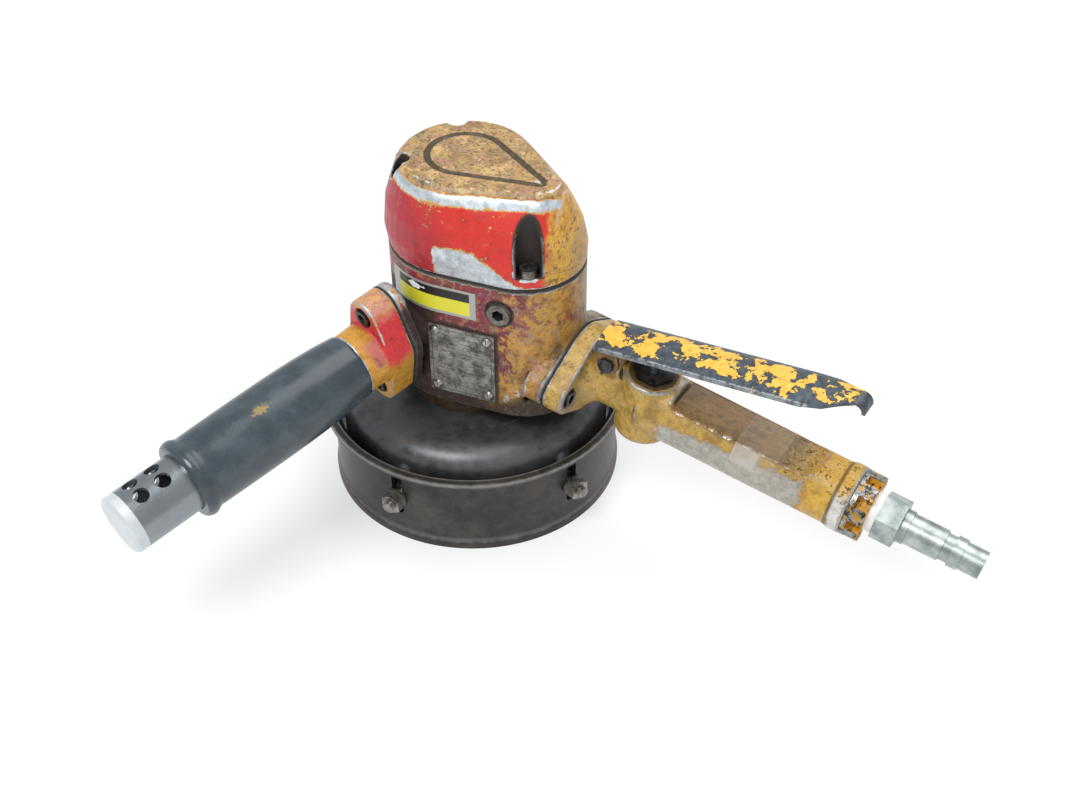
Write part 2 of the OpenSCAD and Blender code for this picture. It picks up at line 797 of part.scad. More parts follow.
// Slotted screws at the nameplate's corners
module nameplate_screws() color(steel) {
    slot = 0.6;
    at_rivets()
        difference() {
            union() {
                translate([0, 0, plate_t]) cylinder(h = rivet_r / 2, r1 = rivet_r, r2 = rivet_r * 0.7);
                translate([0, 0, -rivet_l]) cylinder(h = rivet_l + plate_t + eps, r = rivet_r / 2 - seat_gap);
            }
            translate([-rivet_r, -slot / 2, plate_t + rivet_r / 4]) cube([2 * rivet_r, slot, rivet_r]);
        }
}

// Blank sticker that wraps the round side and part of the flat
module sticker() color([0.85, 0.80, 0.15]) {
    far = 2 * body_r;
    skin = 2 * seat_gap;
    outer = skin + sticker_t;
    translate([0, 0, house_top - sticker_drop - sticker_h])
        intersection() {
            difference() {
                rotate(nose_angle) teardrop(sticker_h, body_r + outer, nose_r + outer, nose_reach);
                translate([0, 0, -1])
                    rotate(nose_angle) teardrop(sticker_h + 2, body_r + skin, nose_r + skin, nose_reach);
            }
            rotate(flat_angle)
                linear_extrude(sticker_h)
                    polygon([
                        [0, sticker_y],
                        [far, sticker_y],
                        [far, -far * sin(sticker_wrap)],
                        [far * cos(sticker_wrap), -far * sin(sticker_wrap)],
                        [0, 0]
                    ]);
        }
}

// Neck that screws into the housing, carries the lower bearing and holds the guard
module bearing_housing() color(dark_steel) {
    difference() {
        union() {
            translate([0, 0, neck_z]) cylinder(h = neck_h, r = neck_r);
            translate([0, 0, house_z - eps]) cylinder(h = spigot_h + eps, r = liner_r);
        }
        translate([0, 0, lower_z]) cylinder(h = neck_h + spigot_h, r = lower_od / 2);
        translate([0, 0, neck_z + 1]) cylinder(h = seal_h, r = seal_pocket_r);
        translate([0, 0, neck_z - eps]) cylinder(h = 2, r = shoulder_r + 2 * clear_gap);
        for (i = [0 : guard_screw_n - 1])
            rotate([0, 0, 45 + 360 * i / guard_screw_n])
                translate([guard_screw_r, 0, neck_z - eps]) cylinder(h = neck_h - 0.5, r = screw_d / 2);
    }
}

// Felt ring that wipes the spindle
module spindle_seal() color(paper) {
    translate([0, 0, neck_z + 1]) ring(seal_pocket_r - seat_gap, shoulder_r + run_gap, seal_h - 1);
}

// Ball bearing pieces around Z
function bearing_pitch(bore, outside) = (bore + outside / 2) / 2;
function bearing_ball(bore, outside) = 0.295 * (outside / 2 - bore);

module bearing_race(bore, outside, width, outer) {
    pitch = bearing_pitch(bore, outside);
    ball = bearing_ball(bore, outside);
    difference() {
        if (outer)
            ring(outside / 2 - seat_gap, pitch + 0.6 * ball, width);
        else
            ring(pitch - 0.6 * ball, bore + seat_gap, width);
        translate([0, 0, width / 2])
            rotate_extrude() translate([pitch, 0]) circle(ball + 2 * run_gap);
    }
}

module bearing_balls(bore, outside, width) {
    pitch = bearing_pitch(bore, outside);
    ball = bearing_ball(bore, outside);
    translate([0, 0, width / 2]) {
        for (i = [0 : ball_n - 1])
            rotate([0, 0, 360 * i / ball_n]) translate([pitch, 0, 0]) sphere(ball);
        difference() {
            translate([0, 0, -ball * 0.6]) ring(pitch + 0.35 * ball, pitch - 0.35 * ball, 1.2 * ball);
            for (i = [0 : ball_n - 1])
                rotate([0, 0, 360 * i / ball_n]) translate([pitch, 0, 0]) sphere(ball + run_gap);
        }
    }
}

module lower_bearing_outer() color(bright) {
    translate([0, 0, lower_z]) bearing_race(spindle_r, lower_od, lower_w, true);
}

module lower_bearing_inner() color(bright) {
    translate([0, 0, lower_z]) bearing_race(spindle_r, lower_od, lower_w, false);
}

module lower_bearing_balls() color(steel) {
    translate([0, 0, lower_z]) bearing_balls(spindle_r, lower_od, lower_w);
}

// Threaded ring that holds the lower bearing in the neck
module bearing_retainer() color(steel) {
    translate([0, 0, lower_z + lower_w])
        difference() {
            ring(lower_od / 2 - seat_gap, bearing_pitch(spindle_r, lower_od) + 1, retainer_h);
            for (turn = [0, 180])
                rotate([0, 0, turn])
                    translate([lower_od / 2 - 2.5, -1.5, retainer_h / 2]) cube([4, 3, retainer_h]);
        }
}

// Plate that closes the cylinder below
module lower_end_plate() color(steel) {
    translate([0, 0, lower_plate_z])
        difference() {
            ring(liner_r, spindle_r + 1, lower_plate_t);
            rotate([0, 0, dead_angle + 180])
                translate([dowel_at, 0, 2]) cylinder(h = lower_plate_t, r = dowel_r + seat_gap);
        }
}

// Motor cylinder with its bore set off the spindle's axis and slots for air in and out
module cylinder_liner() color(steel) {
    translate([0, 0, cylinder_z])
        difference() {
            cylinder(h = cylinder_h, r = liner_r);
            rotate([0, 0, dead_angle])
                translate([bore_offset, 0, -eps]) cylinder(h = cylinder_h + 2 * eps, r = liner_bore);
            rotate([0, 0, dead_angle + 180])
                translate([dowel_at, 0, -eps]) cylinder(h = cylinder_h + 2 * eps, r = dowel_r + seat_gap);
            for (level = [0.3, 0.5, 0.7])
                rotate([0, 0, dead_angle])
                    translate([rotor_r, -exhaust_r, cylinder_h * level - air_slot / 2])
                        cube([bore_r, 2 * exhaust_r, air_slot]);
        }
}

// Pin that keeps cylinder and end plates in line
module cylinder_dowel() color(bright) {
    rotate([0, 0, dead_angle + 180])
        translate([dowel_at, 0, lower_plate_z + 2])
            cylinder(h = upper_plate_z - lower_plate_z, r = dowel_r);
}

// Spindle and slotted rotor in one piece
module spindle_rotor() color(steel) {
    difference() {
        union() {
            translate([0, 0, -thread_l]) cylinder(h = 2, r1 = thread_r - 1.5, r2 = thread_r);
            translate([0, 0, 2 - thread_l]) cylinder(h = thread_l - 2 + eps, r = thread_r);
            cylinder(h = flange_t + eps, r = spindle_r);
            translate([0, 0, flange_t]) cylinder(h = lower_z - flange_t, r = shoulder_r);
            translate([0, 0, lower_z - eps]) cylinder(h = cylinder_z - lower_z + 1, r = spindle_r);
            translate([0, 0, cylinder_z + clear_gap]) cylinder(h = cylinder_h - 2 * clear_gap, r = rotor_r);
            translate([0, 0, upper_plate_z - 1]) cylinder(h = upper_lip + 1, r = journal_r + 2);
            translate([0, 0, upper_z - eps]) cylinder(h = cage_floor - upper_z, r = journal_r);
        }
        for (i = [0 : vane_n - 1])
            rotate([0, 0, 360 * i / vane_n])
                translate([rotor_r - vane_w - 2 * run_gap, -vane_t / 2 - run_gap, cylinder_z])
                    cube([vane_w + 5, vane_t + 2 * run_gap, cylinder_h]);
        for (side = [-1, 1])
            translate([side * (shoulder_r + spindle_r) - shoulder_r, -shoulder_r, flange_t + 3])
                cube([2 * shoulder_r, 2 * shoulder_r, 9]);
        translate([0, 0, cage_floor - stem_depth - 1]) cylinder(h = stem_depth + 2, r = stem_r + run_gap);
    }
}

// Sliding vanes, drawn in to the rotor's surface
module rotor_vanes() color(paper) {
    for (i = [0 : vane_n - 1])
        rotate([0, 0, 360 * i / vane_n])
            translate([rotor_r - vane_w - run_gap, -vane_t / 2, cylinder_z + clear_gap])
                cube([vane_w, vane_t, cylinder_h - 2 * clear_gap]);
}

// Plate that closes the cylinder above and carries the upper bearing
module upper_end_plate() color(steel) {
    translate([0, 0, upper_plate_z])
        difference() {
            cylinder(h = upper_plate_h, r = liner_r);
            translate([0, 0, upper_lip]) cylinder(h = upper_plate_h, r = upper_od / 2);
            translate([0, 0, -eps]) cylinder(h = upper_lip + 1, r = journal_r + 3);
            rotate([0, 0, dead_angle + 180])
                translate([dowel_at, 0, -eps]) cylinder(h = 2 + clear_gap, r = dowel_r + seat_gap);
        }
}

module upper_bearing_outer() color(bright) {
    translate([0, 0, upper_z]) bearing_race(journal_r, upper_od, upper_w, true);
}

module upper_bearing_inner() color(bright) {
    translate([0, 0, upper_z]) bearing_race(journal_r, upper_od, upper_w, false);
}

module upper_bearing_balls() color(steel) {
    translate([0, 0, upper_z]) bearing_balls(journal_r, upper_od, upper_w);
}

// Nut that clamps the upper bearing on the spindle
module bearing_nut() color(steel) {
    translate([0, 0, nut_z])
        difference() {
            hex_bar(2 * journal_r + 5, nut_h);
            translate([0, 0, -eps]) cylinder(h = nut_h + 2 * eps, r = journal_r + seat_gap);
        }
}

// Cup on the spindle's end with lugs for the fly weights
module governor_cage() color(steel) {
    difference() {
        union() {
            translate([0, 0, cage_z]) cylinder(h = cage_floor - cage_z, r = cage_r);
            translate([0, 0, cage_floor - eps]) ring(cage_r, cage_r - cage_wall, cage_h);
            for (turn = [0, 180], side = [-1, 1])
                rotate([0, 0, turn])
                    translate([weight_pivot_r - 3, side * weight_lug_y - weight_lug_t / 2, cage_floor - eps])
                        cube([6, weight_lug_t, weight_pivot_h + 3]);
        }
        translate([0, 0, cage_z - eps]) cylinder(h = 4, r = journal_r + seat_gap);
        for (turn = [0, 180])
            rotate([0, 0, turn])
                translate([weight_pivot_r, cage_r, pivot_z])
                    rotate([90, 0, 0])
                        cylinder(h = 2 * cage_r, r = weight_pin_r);
    }
}

// Lid of the cage, which the governor spring bears on
module governor_cover() color(steel) {
    translate([0, 0, cage_top]) ring(cage_r, stem_r + run_gap, 2.5);
}

// One fly weight with its toe under the stem's collar
module fly_weight() {
    difference() {
        union() {
            translate([weight_pivot_r - weight_t / 2, -weight_half, pivot_z - 3])
                cube([weight_t, 2 * weight_half, weight_h + 3]);
            translate([weight_pivot_r - toe_l, -3, pivot_z - toe_t / 2])
                cube([toe_l, 6, toe_t]);
        }
        translate([weight_pivot_r, weight_half + 1, pivot_z])
            rotate([90, 0, 0]) cylinder(h = 2 * weight_half + 2, r = weight_pin_r + run_gap);
        translate([0, 0, collar_z - clear_gap])
            cylinder(h = weight_h, r = collar_r + 1);
    }
}

module governor_weight_a() color(dark_steel) fly_weight();

module governor_weight_b() color(dark_steel) rotate([0, 0, 180]) fly_weight();

// Pins that the fly weights swing on
module governor_pins() color(bright) {
    pin_half = weight_lug_y + weight_lug_t / 2;
    for (turn = [0, 180])
        rotate([0, 0, turn])
            translate([weight_pivot_r, pin_half, pivot_z])
                rotate([90, 0, 0]) cylinder(h = 2 * pin_half, r = weight_pin_r - seat_gap);
}

// Stem that the weights lift, guided in the spindle and in the cover
module governor_stem() color(bright) {
    translate([0, 0, cage_floor - stem_depth])
        cylinder(h = cage_top - cage_floor + stem_depth + 4, r = stem_r);
    translate([0, 0, collar_z]) cylinder(h = collar_t, r = collar_r);
}

// Spring that presses the collar onto the toes
module governor_spring() color(bright) {
    translate([0, 0, collar_z + collar_t])
        coil_spring(stem_r + 2.5, cage_top - collar_z - collar_t, spring_n, wire_r);
}

// Flange that the cup wheel seats against
module wheel_flange() color(steel) {
    difference() {
        union() {
            cylinder(h = flange_t / 2, r = flange_r);
            translate([0, 0, flange_t / 2 - eps])
                cylinder(h = flange_t / 2 + eps, r1 = flange_r, r2 = shoulder_r + 2);
        }
        translate([0, 0, -eps]) cylinder(h = flange_t + 2 * eps, r = spindle_r + seat_gap);
    }
}

// Pressed dish that covers the wheel
module guard_dome() color(dark_steel) {
    top = dome_lift + dome_t;
    hub = seal_pocket_r + 1;
    bend_in = dome_bend - dome_t;
    difference() {
        rotate_extrude()
            difference() {
                union() {
                    translate([hub, dome_lift]) square([dome_r - dome_bend - hub, dome_t]);
                    translate([dome_r - dome_t, top - dome_h]) square([dome_t, dome_h - dome_bend]);
                    intersection() {
                        translate([dome_r - dome_bend, top - dome_bend]) circle(dome_bend);
                        translate([dome_r - dome_bend, top - dome_bend]) square(dome_bend);
                    }
                }
                translate([dome_r - dome_bend, top - dome_bend]) circle(bend_in);
            }
        for (i = [0 : guard_screw_n - 1])
            rotate([0, 0, 45 + 360 * i / guard_screw_n])
                translate([guard_screw_r, 0, dome_lift - 1]) cylinder(h = dome_t + 2, r = screw_d / 2);
        at_bolts() bar(dome_r - 2 * dome_t, dome_r + 1, bolt_r + seat_gap);
    }
}

// Socket screws that hold the dome under the neck
module guard_screws() color(dark_steel) {
    for (i = [0 : guard_screw_n - 1])
        rotate([0, 0, 45 + 360 * i / guard_screw_n])
            translate([guard_screw_r, 0, dome_lift]) rotate([180, 0, 0]) socket_screw(dome_t + neck_h - 1);
}

// Adjustable skirt with a turned-out lip, a foot bead and slots for the bolts
module guard_skirt() color(dark_steel) {
    lip_r = skirt_out_r + lip_w;
    slot_half = bolt_r + clear_gap;
    translate([0, 0, skirt_z])
        difference() {
            rotate_extrude()
                polygon([
                    [skirt_in_r, 0],
                    [skirt_out_r + bead_w, 0],
                    [skirt_out_r + bead_w, bead_h / 2],
                    [skirt_out_r, bead_h],
                    [skirt_out_r, skirt_h - lip_t - lip_w],
                    [skirt_out_r + lip_w * 0.3, skirt_h - lip_t - lip_w * 0.35],
                    [lip_r, skirt_h - lip_t],
                    [lip_r, skirt_h],
                    [lip_r - skirt_t - 1.5, skirt_h],
                    [skirt_in_r, skirt_h - lip_t - lip_w * 0.7]
                ]);
            for (i = [0 : bolt_n - 1])
                rotate([0, 0, bolt_angle + 360 * i / bolt_n]) {
                    for (end = [-1, 1])
                        translate([0, 0, slot_lift + end * (slot_l / 2 - slot_half)])
                            bar(skirt_in_r - 2, lip_r + 2, slot_half);
                    translate([skirt_in_r - 2, -slot_half, slot_lift - slot_l / 2 + slot_half])
                        cube([skirt_t + lip_w + 4, 2 * slot_half, slot_l - 2 * slot_half]);
                }
        }
}

// Hex bolts through the dome and the skirt's slots
module guard_bolts() color(steel) {
    at_bolts() {
        translate([bolt_head_x - bolt_head_t, 0, 0]) rotate([0, 90, 0]) hex_bar(bolt_af, bolt_head_t);
        bar(bolt_head_x - eps, nut_x + nut_t + 3, bolt_r);
    }
}

// Sleeves that hold the skirt off the dome
module guard_spacers() color(dark_steel) {
    outer = bolt_r + 2.8;
    reach = sqrt(pow(skirt_in_r, 2) - outer * outer) - clear_gap;
    at_bolts()
        difference() {
            bar(dome_r + seat_gap, reach, outer);
            bar(dome_r - 1, reach + 1, bolt_r + seat_gap);
        }
}

// Washers outside the skirt
module guard_washers() color(steel) {
    at_bolts()
        difference() {
            bar(washer_x, nut_x, bolt_r * 2);
            bar(washer_x - 1, nut_x + 1, bolt_r + seat_gap);
        }
}

// Hex nuts that clamp the skirt
module guard_nuts() color(bright) {
    at_bolts()
        difference() {
            translate([nut_x, 0, 0]) rotate([0, 90, 0]) hex_bar(bolt_af, nut_t);
            bar(nut_x - 1, nut_x + nut_t + 1, bolt_r + seat_gap);
        }
}

// Cast flange and neck of the dead handle
module dead_flange() color(yellow) {
    face = dead_joint + gasket_t + dead_flange_t;
    difference() {
        on_dead() {
            dead_oval(dead_joint + gasket_t, face);
            bar(face - eps, face + dead_neck_l, dead_neck_r + 0.5, dead_neck_r);
        }
        on_dead() {
            bar(dead_joint, face, exhaust_r + 2);
            bar(tube_x, face + dead_neck_l + 1, tube_r + seat_gap);
        }
        at_dead_screws(dead_joint) cylinder(h = dead_flange_t + 2, r = screw_d / 2);
        at_dead_screws(face - screw_head_h + 1) cylinder(h = screw_head_h + dead_neck_l, r = pocket_r);
    }
}

module dead_gasket() color(paper) {
    difference() {
        on_dead()
            difference() {
                dead_oval(dead_joint, dead_joint + gasket_t);
                bar(dead_joint - 1, dead_joint + gasket_t + 1, exhaust_r + 2);
            }
        at_dead_screws(dead_joint - 1) cylinder(h = gasket_t + 2, r = screw_d / 2);
    }
}

module dead_screws() color(dark_steel) {
    at_dead_screws(dead_joint + gasket_t + dead_flange_t - screw_head_h + 1)
        socket_screw(dead_flange_t + gasket_t - screw_head_h + dead_lip);
}

// Perforated steel exhaust tube
module exhaust_tube() color(steel) {
    vent_root = sqrt(pow(tube_r - tube_t, 2) - vent_r * vent_r) - 2 * seat_gap;
    on_dead()
        difference() {
            bar(tube_x, tube_end, tube_r);
            bar(tube_x - 1, tube_end + 1, tube_r - tube_t);
            for (row = [0, 1], i = [0 : vent_n - 1])
                rotate([(i - 0.5) * vent_turn, 0, 0])
                    translate([tube_end - vent_inset - row * vent_pitch, 0, vent_root])
                        cylinder(h = tube_r, r = vent_r);
        }
}

// Rubber grip over the tube
module dead_grip() color(rubber) {
    end = grip_x + grip_l;
    on_dead()
        rotate([0, 90, 0])
            rotate_extrude()
                polygon([
                    [tube_r + seat_gap, grip_x],
                    [grip_root_r, grip_x],
                    [grip_root_r + 0.6, grip_x + 6],
                    [grip_r, grip_x + grip_l / 3],
                    [grip_r, end - grip_bead_l - 2],
                    [grip_bead_r, end - grip_bead_l],
                    [grip_bead_r, end - 1.5],
                    [grip_bead_r - 1.5, end],
                    [tube_r + seat_gap, end]
                ]);
}

// Plug in the end of the exhaust tube
module exhaust_cap() color(bright) {
    on_dead() {
        bar(tube_end - cap_plug_l, tube_end + eps, tube_r - tube_t - seat_gap);
        bar(tube_end, tube_end + end_cap_l - 1.5, tube_r);
        bar(tube_end + end_cap_l - 1.5 - eps, tube_end + end_cap_l, tube_r, tube_r - 1.5);
    }
}

// Radius of the throttle grip, which tapers outward from the boss
function grip_radius(x) =
    bar_root_r + (bar_end_r - bar_root_r) * (x - boss_at) / (collar_x - 1 - boss_at);

// A stretch of the throttle grip with the flat on its top, grown by gap
module grip_bar(x0, x1, gap) {
    difference() {
        bar(x0, x1, grip_radius(x0) + gap, grip_radius(x1) + gap);
        translate([x0 - 1, -2 * bar_root_r, flat_h + gap])
            cube([x1 - x0 + 2, 4 * bar_root_r, bar_root_r]);
    }
}

// Cast throttle handle with its flange, valve boss, lever lug and air passages
module throttle_handle() color(yellow) {
    face = bar_x + throttle_flange_t;
    flat_x = boss_at + boss_r + 2;
    difference() {
        on_throttle() {
            throttle_oval(bar_x, face);
            bar(face - eps, face + 8, throttle_flange_r - 3, neck_bar_r);
            bar(face + 8 - eps, boss_at, neck_bar_r);
            difference() {
                bar(boss_at, collar_x - 1, bar_root_r, bar_end_r);
                translate([boss_at - 1, -bar_root_r, boss_top - eps])
                    cube([boss_r + 4, 2 * bar_root_r, bar_root_r]);
                rotate([90, 0, 0])
                    linear_extrude(height = 2 * bar_root_r, center = true)
                        polygon([
                            [flat_x, flat_h],
                            [inlet_x - 6, flat_h],
                            [inlet_x, inlet_r + 2],
                            [inlet_x + 10, 2 * bar_root_r],
                            [flat_x, 2 * bar_root_r]
                        ]);
            }
            bar(collar_x - 1 - eps, collar_x, bar_end_r - 0.6);
            bar(collar_x - eps, bar_end, bar_collar_r);
            translate([boss_at, 0, 4 - boss_foot]) cylinder(h = boss_foot + boss_top - 4, r = boss_r);
            translate([boss_at, 0, -boss_foot]) cylinder(h = 4 + eps, r1 = boss_r - 4, r2 = boss_r);
            translate([pivot_at, lug_w / 2, pivot_h]) rotate([90, 0, 0]) cylinder(h = lug_w, r = ear_r);
            translate([pivot_at - ear_r, -lug_w / 2, 0]) cube([2 * ear_r, lug_w, pivot_h]);
        }
        on_throttle() {
            bar(throttle_joint, face + 4, duct_r);
            translate([0, 0, min(bushing_z - 2, neck_bar_r - 6)]) bar(face, boss_at, 4);
            translate([0, 0, spring_foot + 6]) bar(boss_at, boss_at + boss_r + 6, 5);
            bar(boss_at + boss_r, bar_end, passage_r);
            bar(inlet_x, bar_end + 1, inlet_r);
            translate([boss_at, 0, -boss_foot - 1]) cylinder(h = boss_foot + boss_top + 2, r = valve_bore_r);
            translate([pivot_at, lug_w, pivot_h]) rotate([90, 0, 0]) cylinder(h = 2 * lug_w, r = pin_r);
            for (side = [-1, 1])
                translate([pivot_at, side * (lug_w / 2 + ear_t), pivot_h])
                    rotate([90, 0, 0]) cylinder(h = 2 * ear_t, r = ear_r + 2 * clear_gap, center = true);
        }
        at_throttle_screws(throttle_joint) cylinder(h = throttle_flange_t + 2, r = screw_d / 2);
        at_throttle_screws(face - screw_head_h + 1) cylinder(h = screw_head_h + 6, r = pocket_r);
    }
}

module throttle_gasket() color(paper) {
    difference() {
        on_throttle()
            difference() {
                throttle_oval(throttle_joint, bar_x);
                bar(throttle_joint - 1, bar_x + 1, duct_r);
            }
        at_throttle_screws(throttle_joint - 1) cylinder(h = gasket_t + 2, r = screw_d / 2);
    }
}

module throttle_screws() color(dark_steel) {
    at_throttle_screws(bar_x + throttle_flange_t - screw_head_h + 1)
        socket_screw(throttle_flange_t - screw_head_h + screw_bite);
}

// How far the lever's arched section lies below its crown, at a distance from the middle
function arch_drop(y) = arch_r - sqrt(arch_r * arch_r - y * y);

// Pressed steel lever with two ears on the pin and a hooked tip
module throttle_lever() color(yellow) {
    ear_in = lug_w / 2 + clear_gap;
    ear_top = lever_crown - (arch_drop(ear_in) + arch_drop(ear_in + ear_t) + lever_t) / 2;
    hook_drop = 0.25;
    body_l = lever_l - hook_r;
    straight_l = body_l - taper_l;
    on_throttle()
        translate([pivot_at, 0, pivot_h])
            rotate([0, -lever_rest, 0])
                difference() {
                    union() {
                        intersection() {
                            translate([0, 0, lever_crown - arch_r])
                                difference() {
                                    bar(-ear_r, body_l, arch_r);
                                    bar(-ear_r - 1, body_l + 1, arch_r - lever_t);
                                }
                            linear_extrude(2 * lever_crown)
                                union() {
                                    translate([-ear_r, -lever_w / 2]) square([ear_r + straight_l, lever_w]);
                                    polygon([
                                        [straight_l - eps, -lever_w / 2],
                                        [straight_l + taper_l * 0.45, -lever_w * 0.43],
                                        [straight_l + taper_l * 0.8, -tip_w * 0.7],
                                        [body_l, -tip_w / 2],
                                        [body_l, tip_w / 2],
                                        [straight_l + taper_l * 0.8, tip_w * 0.7],
                                        [straight_l + taper_l * 0.45, lever_w * 0.43],
                                        [straight_l - eps, lever_w / 2]
                                    ]);
                                }
                        }
                        translate([body_l, -tip_w / 2, lever_crown - hook_drop - hook_r])
                            rotate([-90, 0, 0])
                                linear_extrude(tip_w) {
                                    intersection() {
                                        difference() {
                                            circle(hook_r);
                                            circle(hook_r - lever_t);
                                        }
                                        translate([0, -hook_r]) square([hook_r, hook_r + 1]);
                                    }
                                    translate([-lever_t, -hook_r]) square([lever_t, lever_t]);
                                }
                        for (side = [-1, 1])
                            translate([0, side * (ear_in + ear_t / 2) + ear_t / 2, 0])
                                rotate([90, 0, 0])
                                    linear_extrude(ear_t) {
                                        circle(ear_r);
                                        translate([-ear_r, 0]) square([2 * ear_r, ear_top]);
                                    }
                    }
                    translate([0, lever_w, 0])
                        rotate([90, 0, 0]) cylinder(h = 2 * lever_w, r = pin_r + run_gap);
                }
}

// Headed pin that the lever swings on
module lever_pin() color(steel) {
    half = lug_w / 2 + ear_t + 2 * clear_gap;
    on_throttle()
        translate([pivot_at, 0, pivot_h])
            rotate([90, 0, 0]) {
                translate([0, 0, -half - 2]) cylinder(h = 2 * half + 2, r = pin_r - seat_gap);
                translate([0, 0, half]) cylinder(h = 2, r = pin_r + 1.5);
            }
}

// Threaded guide of the plunger
module plunger_bushing() color(steel) {
    on_throttle()
        translate([boss_at, 0, bushing_z])
            difference() {
                union() {
                    cylinder(h = bushing_l + eps, r = valve_bore_r - seat_gap);
                    translate([0, 0, bushing_l]) hex_bar(2 * valve_bore_r + 2, bushing_t);
                }
                translate([0, 0, -eps]) cylinder(h = bushing_l + bushing_t + 1, r = plunger_r + run_gap);
            }
}

// Push pin between lever and valve
module throttle_plunger() color(bright) {
    on_throttle()
        translate([boss_at, 0, bushing_z]) {
            shaft = plunger_top - bushing_z - 1;
            cylinder(h = shaft, r = plunger_r);
            translate([0, 0, shaft - eps]) cylinder(h = 1, r1 = plunger_r, r2 = plunger_r - 1);
        }
}

// Ring that the valve closes against
module valve_seat() color([0.75, 0.60, 0.30]) {
    on_throttle() translate([boss_at, 0, seat_lift]) ring(valve_bore_r - seat_gap, port_r, seat_t);
}

// Poppet valve under its seat
module throttle_valve() color(bright) {
    on_throttle()
        translate([boss_at, 0, valve_foot]) {
            cylinder(h = valve_t, r = valve_r);
            cylinder(h = bushing_z - clear_gap - valve_foot, r = plunger_r - 0.5);
        }
}

// Spring that closes the valve
module valve_spring() color(bright) {
    on_throttle()
        translate([boss_at, 0, spring_foot])
            coil_spring(valve_r - 1.5, valve_foot - spring_foot, spring_n, wire_r);
}

// Slotted plug that closes the valve bore
module valve_cap() color(steel) {
    on_throttle()
        translate([boss_at, 0, -boss_foot])
            difference() {
                cylinder(h = valve_cap_t, r = valve_bore_r - seat_gap);
                translate([-valve_bore_r, -1, -eps]) cube([2 * valve_bore_r, 2, 2]);
            }
}

// Reducing bushing with a notched ring for a pin wrench
module inlet_bushing() color(steel) {
    on_throttle()
        difference() {
            union() {
                bar(inlet_x, bar_end + eps, inlet_r - seat_gap);
                bar(bar_end, bar_end + ring_l, ring_r);
            }
            bar(inlet_x - 1, bar_end + ring_l + 1, plug_thread_r + seat_gap);
            for (i = [0 : notch_n - 1])
                rotate([360 * i / notch_n, 0, 0])
                    translate([bar_end + ring_l - notch_d, -notch_w / 2, inlet_r - 1])
                        cube([notch_d + 1, notch_w, ring_r]);
        }
}

// Quick-change air plug with its hex, body, locking groove and nose
module air_plug() color(bright) {
    on_throttle()
        difference() {
            union() {
                bar(inlet_x + 4, hex_x + eps, plug_thread_r);
                translate([hex_x, 0, 0]) rotate([0, 90, 0]) hex_bar(plug_af, plug_hex_l);
                bar(shank_x - eps, shank_x + 4, plug_r + 0.8);
                bar(shank_x, shank_x + plug_l, plug_r);
                bar(shank_x + plug_l - eps, lock_x, plug_nose_r - 0.2);
                bar(lock_x - eps, lock_x + lock_l, plug_r);
                bar(lock_x + lock_l - eps, plug_end, plug_nose_r);
            }
            bar(inlet_x, plug_end + 1, plug_bore_r);
        }
}

// Sealing tape that shows between ring and hex
module thread_tape() color("white") {
    on_throttle()
        difference() {
            bar(bar_end + ring_l, hex_x, plug_thread_r + 1.2);
            bar(bar_end + ring_l - 1, hex_x + 1, plug_thread_r + seat_gap);
        }
}

// Band of tape around the throttle handle
module grip_tape() color([0.85, 0.84, 0.80]) {
    start = throttle_joint + tape_x;
    end = start + tape_w;
    on_throttle()
        difference() {
            grip_bar(start, end, tape_t + clear_gap);
            grip_bar(start - 1, end + 1, clear_gap);
        }
}

motor_housing();
housing_cap();
cap_gasket();
cap_screws();
oil_plug();
nameplate();
nameplate_screws();
sticker();
bearing_housing();
spindle_seal();
lower_bearing_outer();
lower_bearing_inner();
lower_bearing_balls();
bearing_retainer();
lower_end_plate();
cylinder_liner();
cylinder_dowel();
spindle_rotor();
rotor_vanes();
upper_end_plate();
upper_bearing_outer();
upper_bearing_inner();
upper_bearing_balls();
bearing_nut();
governor_cage();
governor_cover();
governor_weight_a();
governor_weight_b();
governor_pins();
governor_stem();
governor_spring();
wheel_flange();
guard_dome();
guard_screws();
guard_skirt();
guard_bolts();
guard_spacers();
guard_washers();
guard_nuts();
dead_flange();
dead_gasket();
dead_screws();
exhaust_tube();
dead_grip();
exhaust_cap();
throttle_handle();
throttle_gasket();
throttle_screws();
throttle_lever();
lever_pin();
plunger_bushing();
throttle_plunger();
valve_seat();
throttle_valve();
valve_spring();
valve_cap();
inlet_bushing();
air_plug();
thread_tape();
grip_tape();
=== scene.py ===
import json
import math

